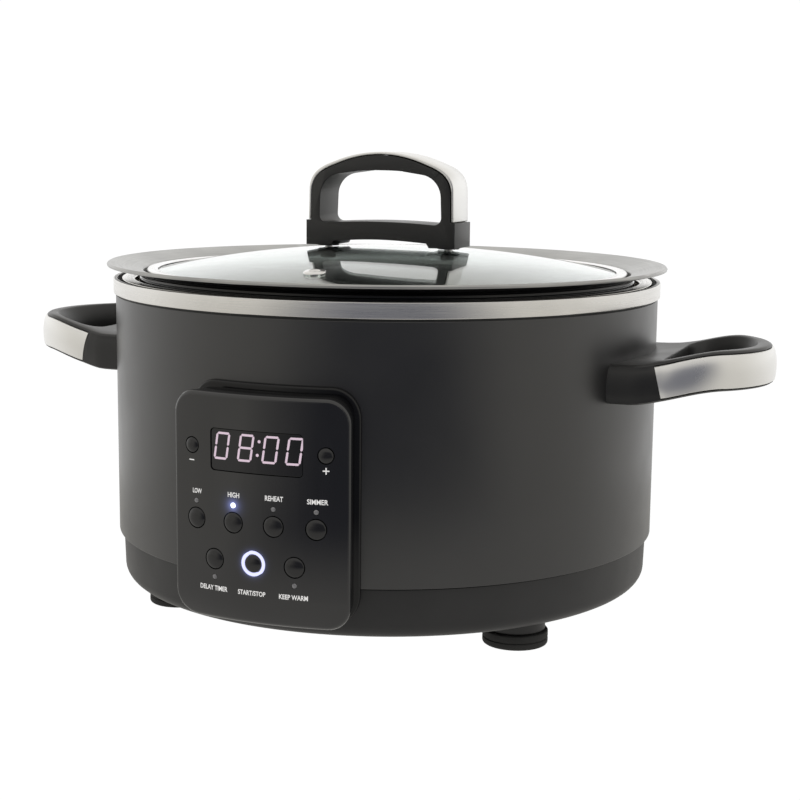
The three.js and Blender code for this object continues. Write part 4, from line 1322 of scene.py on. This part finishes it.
def segmentBar(name, length):
    # one lit bar with pointed, softened ends
    stroke = digitSizes["stroke"] / 2
    half = length / 2
    bar = slabPiece(name, [(-half, 0), (-half + stroke, -stroke), (half - stroke, -stroke), (half, 0),
                           (half - stroke, stroke), (-half + stroke, stroke)], digitSizes["depth"])
    editAll(bar)
    bpy.ops.mesh.bevel(offset=digitSizes["soft"] * mm, segments=2, affect="EDGES")
    leaveEdit()
    return bar


def makeDigits():
    s = digitSizes
    gap = s["gap"]
    flat = segmentBar("flatBar", s["wide"] - s["stroke"] - 2 * gap + 0.9)
    upright = segmentBar("uprightBar", s["tall"] / 2 - s["stroke"] / 2 - 2 * gap + 0.5)
    shapes = {"0": "abcdef", "8": "abcdefg"}
    top = s["tall"] / 2 - s["stroke"] / 2
    side = s["wide"] / 2 - s["stroke"] / 2
    places = {"a": (flat, 0, top, 0), "g": (flat, 0, 0, 0), "d": (flat, 0, -top, 0),
              "b": (upright, side, top / 2, 90), "c": (upright, side, -top / 2, 90),
              "e": (upright, -side, -top / 2, 90), "f": (upright, -side, top / 2, 90)}
    bars = []
    slant = math.tan(math.radians(s["slant"]))
    for digit, centre in zip("0800", s["centres"]):
        for letter in shapes[digit]:
            source, x, z, turn = places[letter]
            bar = copyOf(source, "bar")
            settle(bar, moved(x, 0, z) @ Matrix.Rotation(math.radians(turn), 4, "Y"))
            for vertex in bar.data.vertices:
                vertex.co.x += vertex.co.z * slant + centre * mm
                vertex.co.z += s["middle"] * mm
            bars.append(bar)
    for height in s["dots"]:
        lean = (height - s["middle"]) * slant
        dot = rodAcross("dot", s["dotRadius"], s["colon"] + lean, height, s["depth"], 20)
        bars.append(settle(dot, moved(y=0.12)))
    bpy.data.objects.remove(flat)
    bpy.data.objects.remove(upright)
    digits = named(joined(*bars), "displayDigits")
    settle(digits, moved(y=0.3))
    bentRound(digits, panel["radius"])
    fitted(digits, "litDigit", "light_plastic")


# lettering and the bars of the minus and plus signs: arc, height, width and tallness
labelSizes = {
    "LOW": (-32.4, 89.0, 5.4, 2.4), "HIGH": (-11.4, 89.2, 6.3, 2.5), "REHEAT": (9.9, 89.3, 9.2, 2.5),
    "SIMMER": (31.4, 89.0, 10.2, 2.5), "DELAY TIMER": (-23.0, 42.3, 15.8, 2.4),
    "START/STOP": (-1.9, 42.2, 14.6, 2.4), "KEEP WARM": (19.6, 42.1, 14.4, 2.4),
}
signSizes = [(-35.6, 103.9, 2.9, 0.55), (35.4, 104.0, 3.2, 0.6), (35.4, 104.0, 0.6, 3.2)]


def makeLabels():
    pieces = []
    for words, (arc, height, wide, tall) in labelSizes.items():
        clearSelection()
        bpy.ops.object.text_add(location=(0, 0, 0))
        text = bpy.context.object
        text.data.body = words
        text.data.size = 4 * mm
        text.data.offset = 0.085 * mm
        text.data.extrude = 0.02 * mm
        text.data.align_x = "CENTER"
        text.data.align_y = "CENTER"
        text.data.resolution_u = 4
        bpy.ops.object.convert(target="MESH")
        text = bpy.context.object
        size = text.dimensions
        middle = (Vector(text.bound_box[0]) + Vector(text.bound_box[6])) / 2
        grow = Matrix.Diagonal((wide * mm / size.x, tall * mm / size.y, 1, 1))
        settle(text, moved(arc, 0, height) @ Matrix.Rotation(math.pi / 2, 4, "X")
               @ grow @ Matrix.Translation(-middle))
        pieces.append(text)
    for arc, height, wide, tall in signSizes:
        x, z = wide / 2, tall / 2
        bar = slabPiece("sign", [(-x, -z), (x, -z), (x, z), (-x, z)], 0.04)
        pieces.append(settle(bar, moved(arc, -0.02, height)))
    labels = named(joined(*pieces), "panelLabels")
    bentRound(labels, panel["radius"])
    # white print, with a painted glow on top of its own colour
    fitted(labels, "labelInkGlow", "light_plastic")


def radialPlace(arc, height):
    radius = panel["radius"]
    return (Matrix.Rotation(arc / radius, 4, "Z") @ moved(y=-radius, z=height)
            @ Matrix.Rotation(math.pi / 2, 4, "X"))


# domed caps with a collar behind the fascia, the ring round one of them, and the indicator beads
buttonSizes = {
    "domeAngle": 1.15, "domeFrom": 0.15, "domeRise": 1.05, "domeReach": 0.965,
    "collar": 1, "collarBack": -3.9, "collarFront": -2.9,
    "ringGap": 0.3, "ringWide": 1.4, "beadRadius": 1.2, "beadRise": 0.45,
}


def capProfile(radius):
    s = buttonSizes
    turn, back, front = s["domeAngle"], s["collarBack"], s["collarFront"]
    dome = []
    for a in (turn * k / 7 for k in range(7, -1, -1)):
        rise = s["domeRise"] * (math.cos(a) - math.cos(turn)) / (1 - math.cos(turn))
        dome.append((radius * math.sin(a) * radius / (radius * math.sin(turn)) * s["domeReach"],
                     s["domeFrom"] + rise))
    dome[-1] = (0, dome[-1][1])
    wide = radius + s["collar"]
    skirt = [(0, back), (wide, back, 0.2), (wide, front, 0.2), (radius, front), (radius, -0.15)]
    return softened(skirt) + dome


def makeButtons():
    s = buttonSizes
    for row in buttons:
        cap = turnedPiece("cap_" + row["name"], capProfile(row["radius"]), 64, closed=False)
        shadeSoft(cap, 50)
        settle(cap, radialPlace(row["arc"], row["height"]))
        fitted(cap, "buttonGloss", "button_gloss", row["name"] + "_button", body=row["name"] + "_key")
        if row["name"] == "start":
            inner = row["radius"] + s["ringGap"]
            outer = inner + s["ringWide"]
            ring = turnedPiece("startRing", softened([
                (inner, -2.3), (outer, -2.3), (outer, 0.2, 0.4), (inner, 0.2, 0.4),
            ]), 64)
            settle(ring, radialPlace(row["arc"], row["height"]))
            fitted(ring, "litRing", "light_plastic", "start_light_ring")
    radius = s["beadRadius"]
    dome = [(radius * math.sin(a), s["beadRise"] * math.cos(a))
            for a in (math.pi / 2 * k / 5 for k in range(5, -1, -1))]
    dome[-1] = (0, dome[-1][1])
    for row in lights:
        bead = turnedPiece("indicator_" + row["name"], [(0, -3.4), (radius, -3.4)] + dome, 32, closed=False)
        settle(bead, radialPlace(row["arc"], row["height"]))
        finish = "litLight" if row["name"] == "high" else "lightPlastic"
        fitted(bead, finish, "light_plastic", row["name"] + "_light")


# painted spill of light on the fascia round the lit bead and ring: where it starts, how far it reaches and
# how strong it is
paintedSpillSizes = {"bead": (1.2, 1.5, 0.5), "ring": (6.0, 0.9, 0.16), "tint": (0.35, 0.42, 1.0)}


def makeFasciaFinish():
    # deep gloss, with the light of the lit ring and bead painted on round them
    makeFinish("fasciaGloss", (0.0045, 0.0045, 0.0055), (0.0065, 0.0065, 0.0078), (0.05, 0.05, 0.05),
               toneScale=25, wear=0.1, smooth=0.05, rough=0.09, grainScale=300, cloudScale=18,
               bump=0.02, depth=0.03, Specular_IOR_Level=0.75)
    tree, shader = insides("fasciaGloss")
    here = spotIn(tree)
    total = 0
    high = next(row for row in lights if row["name"] == "high")
    start = next(row for row in buttons if row["name"] == "start")
    for row, (inner, reach, strength) in ((high, paintedSpillSizes["bead"]), (start, paintedSpillSizes["ring"])):
        spot = radialPlace(row["arc"], row["height"]) @ Vector((0, 0, 0))
        away = vectorNode(tree, "DISTANCE", here, spot)["Value"]
        past = mathNode(tree, "SUBTRACT", away, inner * mm)
        fade = mathNode(tree, "DIVIDE", past, -reach * mm)
        spill = mathNode(tree, "MULTIPLY", mathNode(tree, "EXPONENT", fade), strength)
        total = mathNode(tree, "ADD", total, spill)
    glow = colourMix(tree, total, shade(0, 0, 0), shade(*paintedSpillSizes["tint"]))
    feed(tree, shader, {"Emission Color": glow, "Emission Strength": 1})


makeFasciaFinish()
makeFascia()
makePod()
makeLens()
makeDigits()
makeLabels()
makeButtons()
print("control panel ready")


# mains inlet and the pieces inside

def makeInlet():
    housing = softCopy("inlet_housing", "inletHousing", 1.2, 3)
    fitted(housing, "basePlastic", "base_plastic", "inlet_housing")
    socket = softCopy("mains_inlet", "mainsSocket", 0.5, 2)
    fitted(socket, "blackPlastic", "black_plastic", "mains_inlet")
    for name in ("line", "neutral", "earth"):
        pin = softCopy("inlet_pin_" + name, "inletPin_" + name, 0.3, 2)
        fitted(pin, "pinBrass", "pin_brass", "inlet_pin_" + name)


innerFinish = {
    "heater_band": "wellSteel", "thermal_fuse": "hardwareSteel", "sensor_bracket": "hardwareSteel",
    "pot_sensor": "wellSteel", "sensor_spring": "hardwareSteel", "power_board": "boardLaminate",
    "heater_relay": "blackPlastic", "control_board": "boardLaminate", "display_module": "blackPlastic",
}


def dressInside():
    for node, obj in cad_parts.items():
        finish = innerFinish.get(node)
        if "screw" in node or "bolt" in node:
            finish = "hardwareSteel"
        if finish:
            coat(obj, finish)


def makeSensorCoil():
    # the spring under the sensor, which shortens as the sensor goes down
    coil = freeCopy("sensor_spring", "sensorCoil")
    shadeSoft(coil)
    fitted(coil, "hardwareSteel", "hardware_steel", "sensor_spring")
    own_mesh(coil)


makeInlet()
makeSensorCoil()
dressInside()
print("inlet and inner pieces ready")
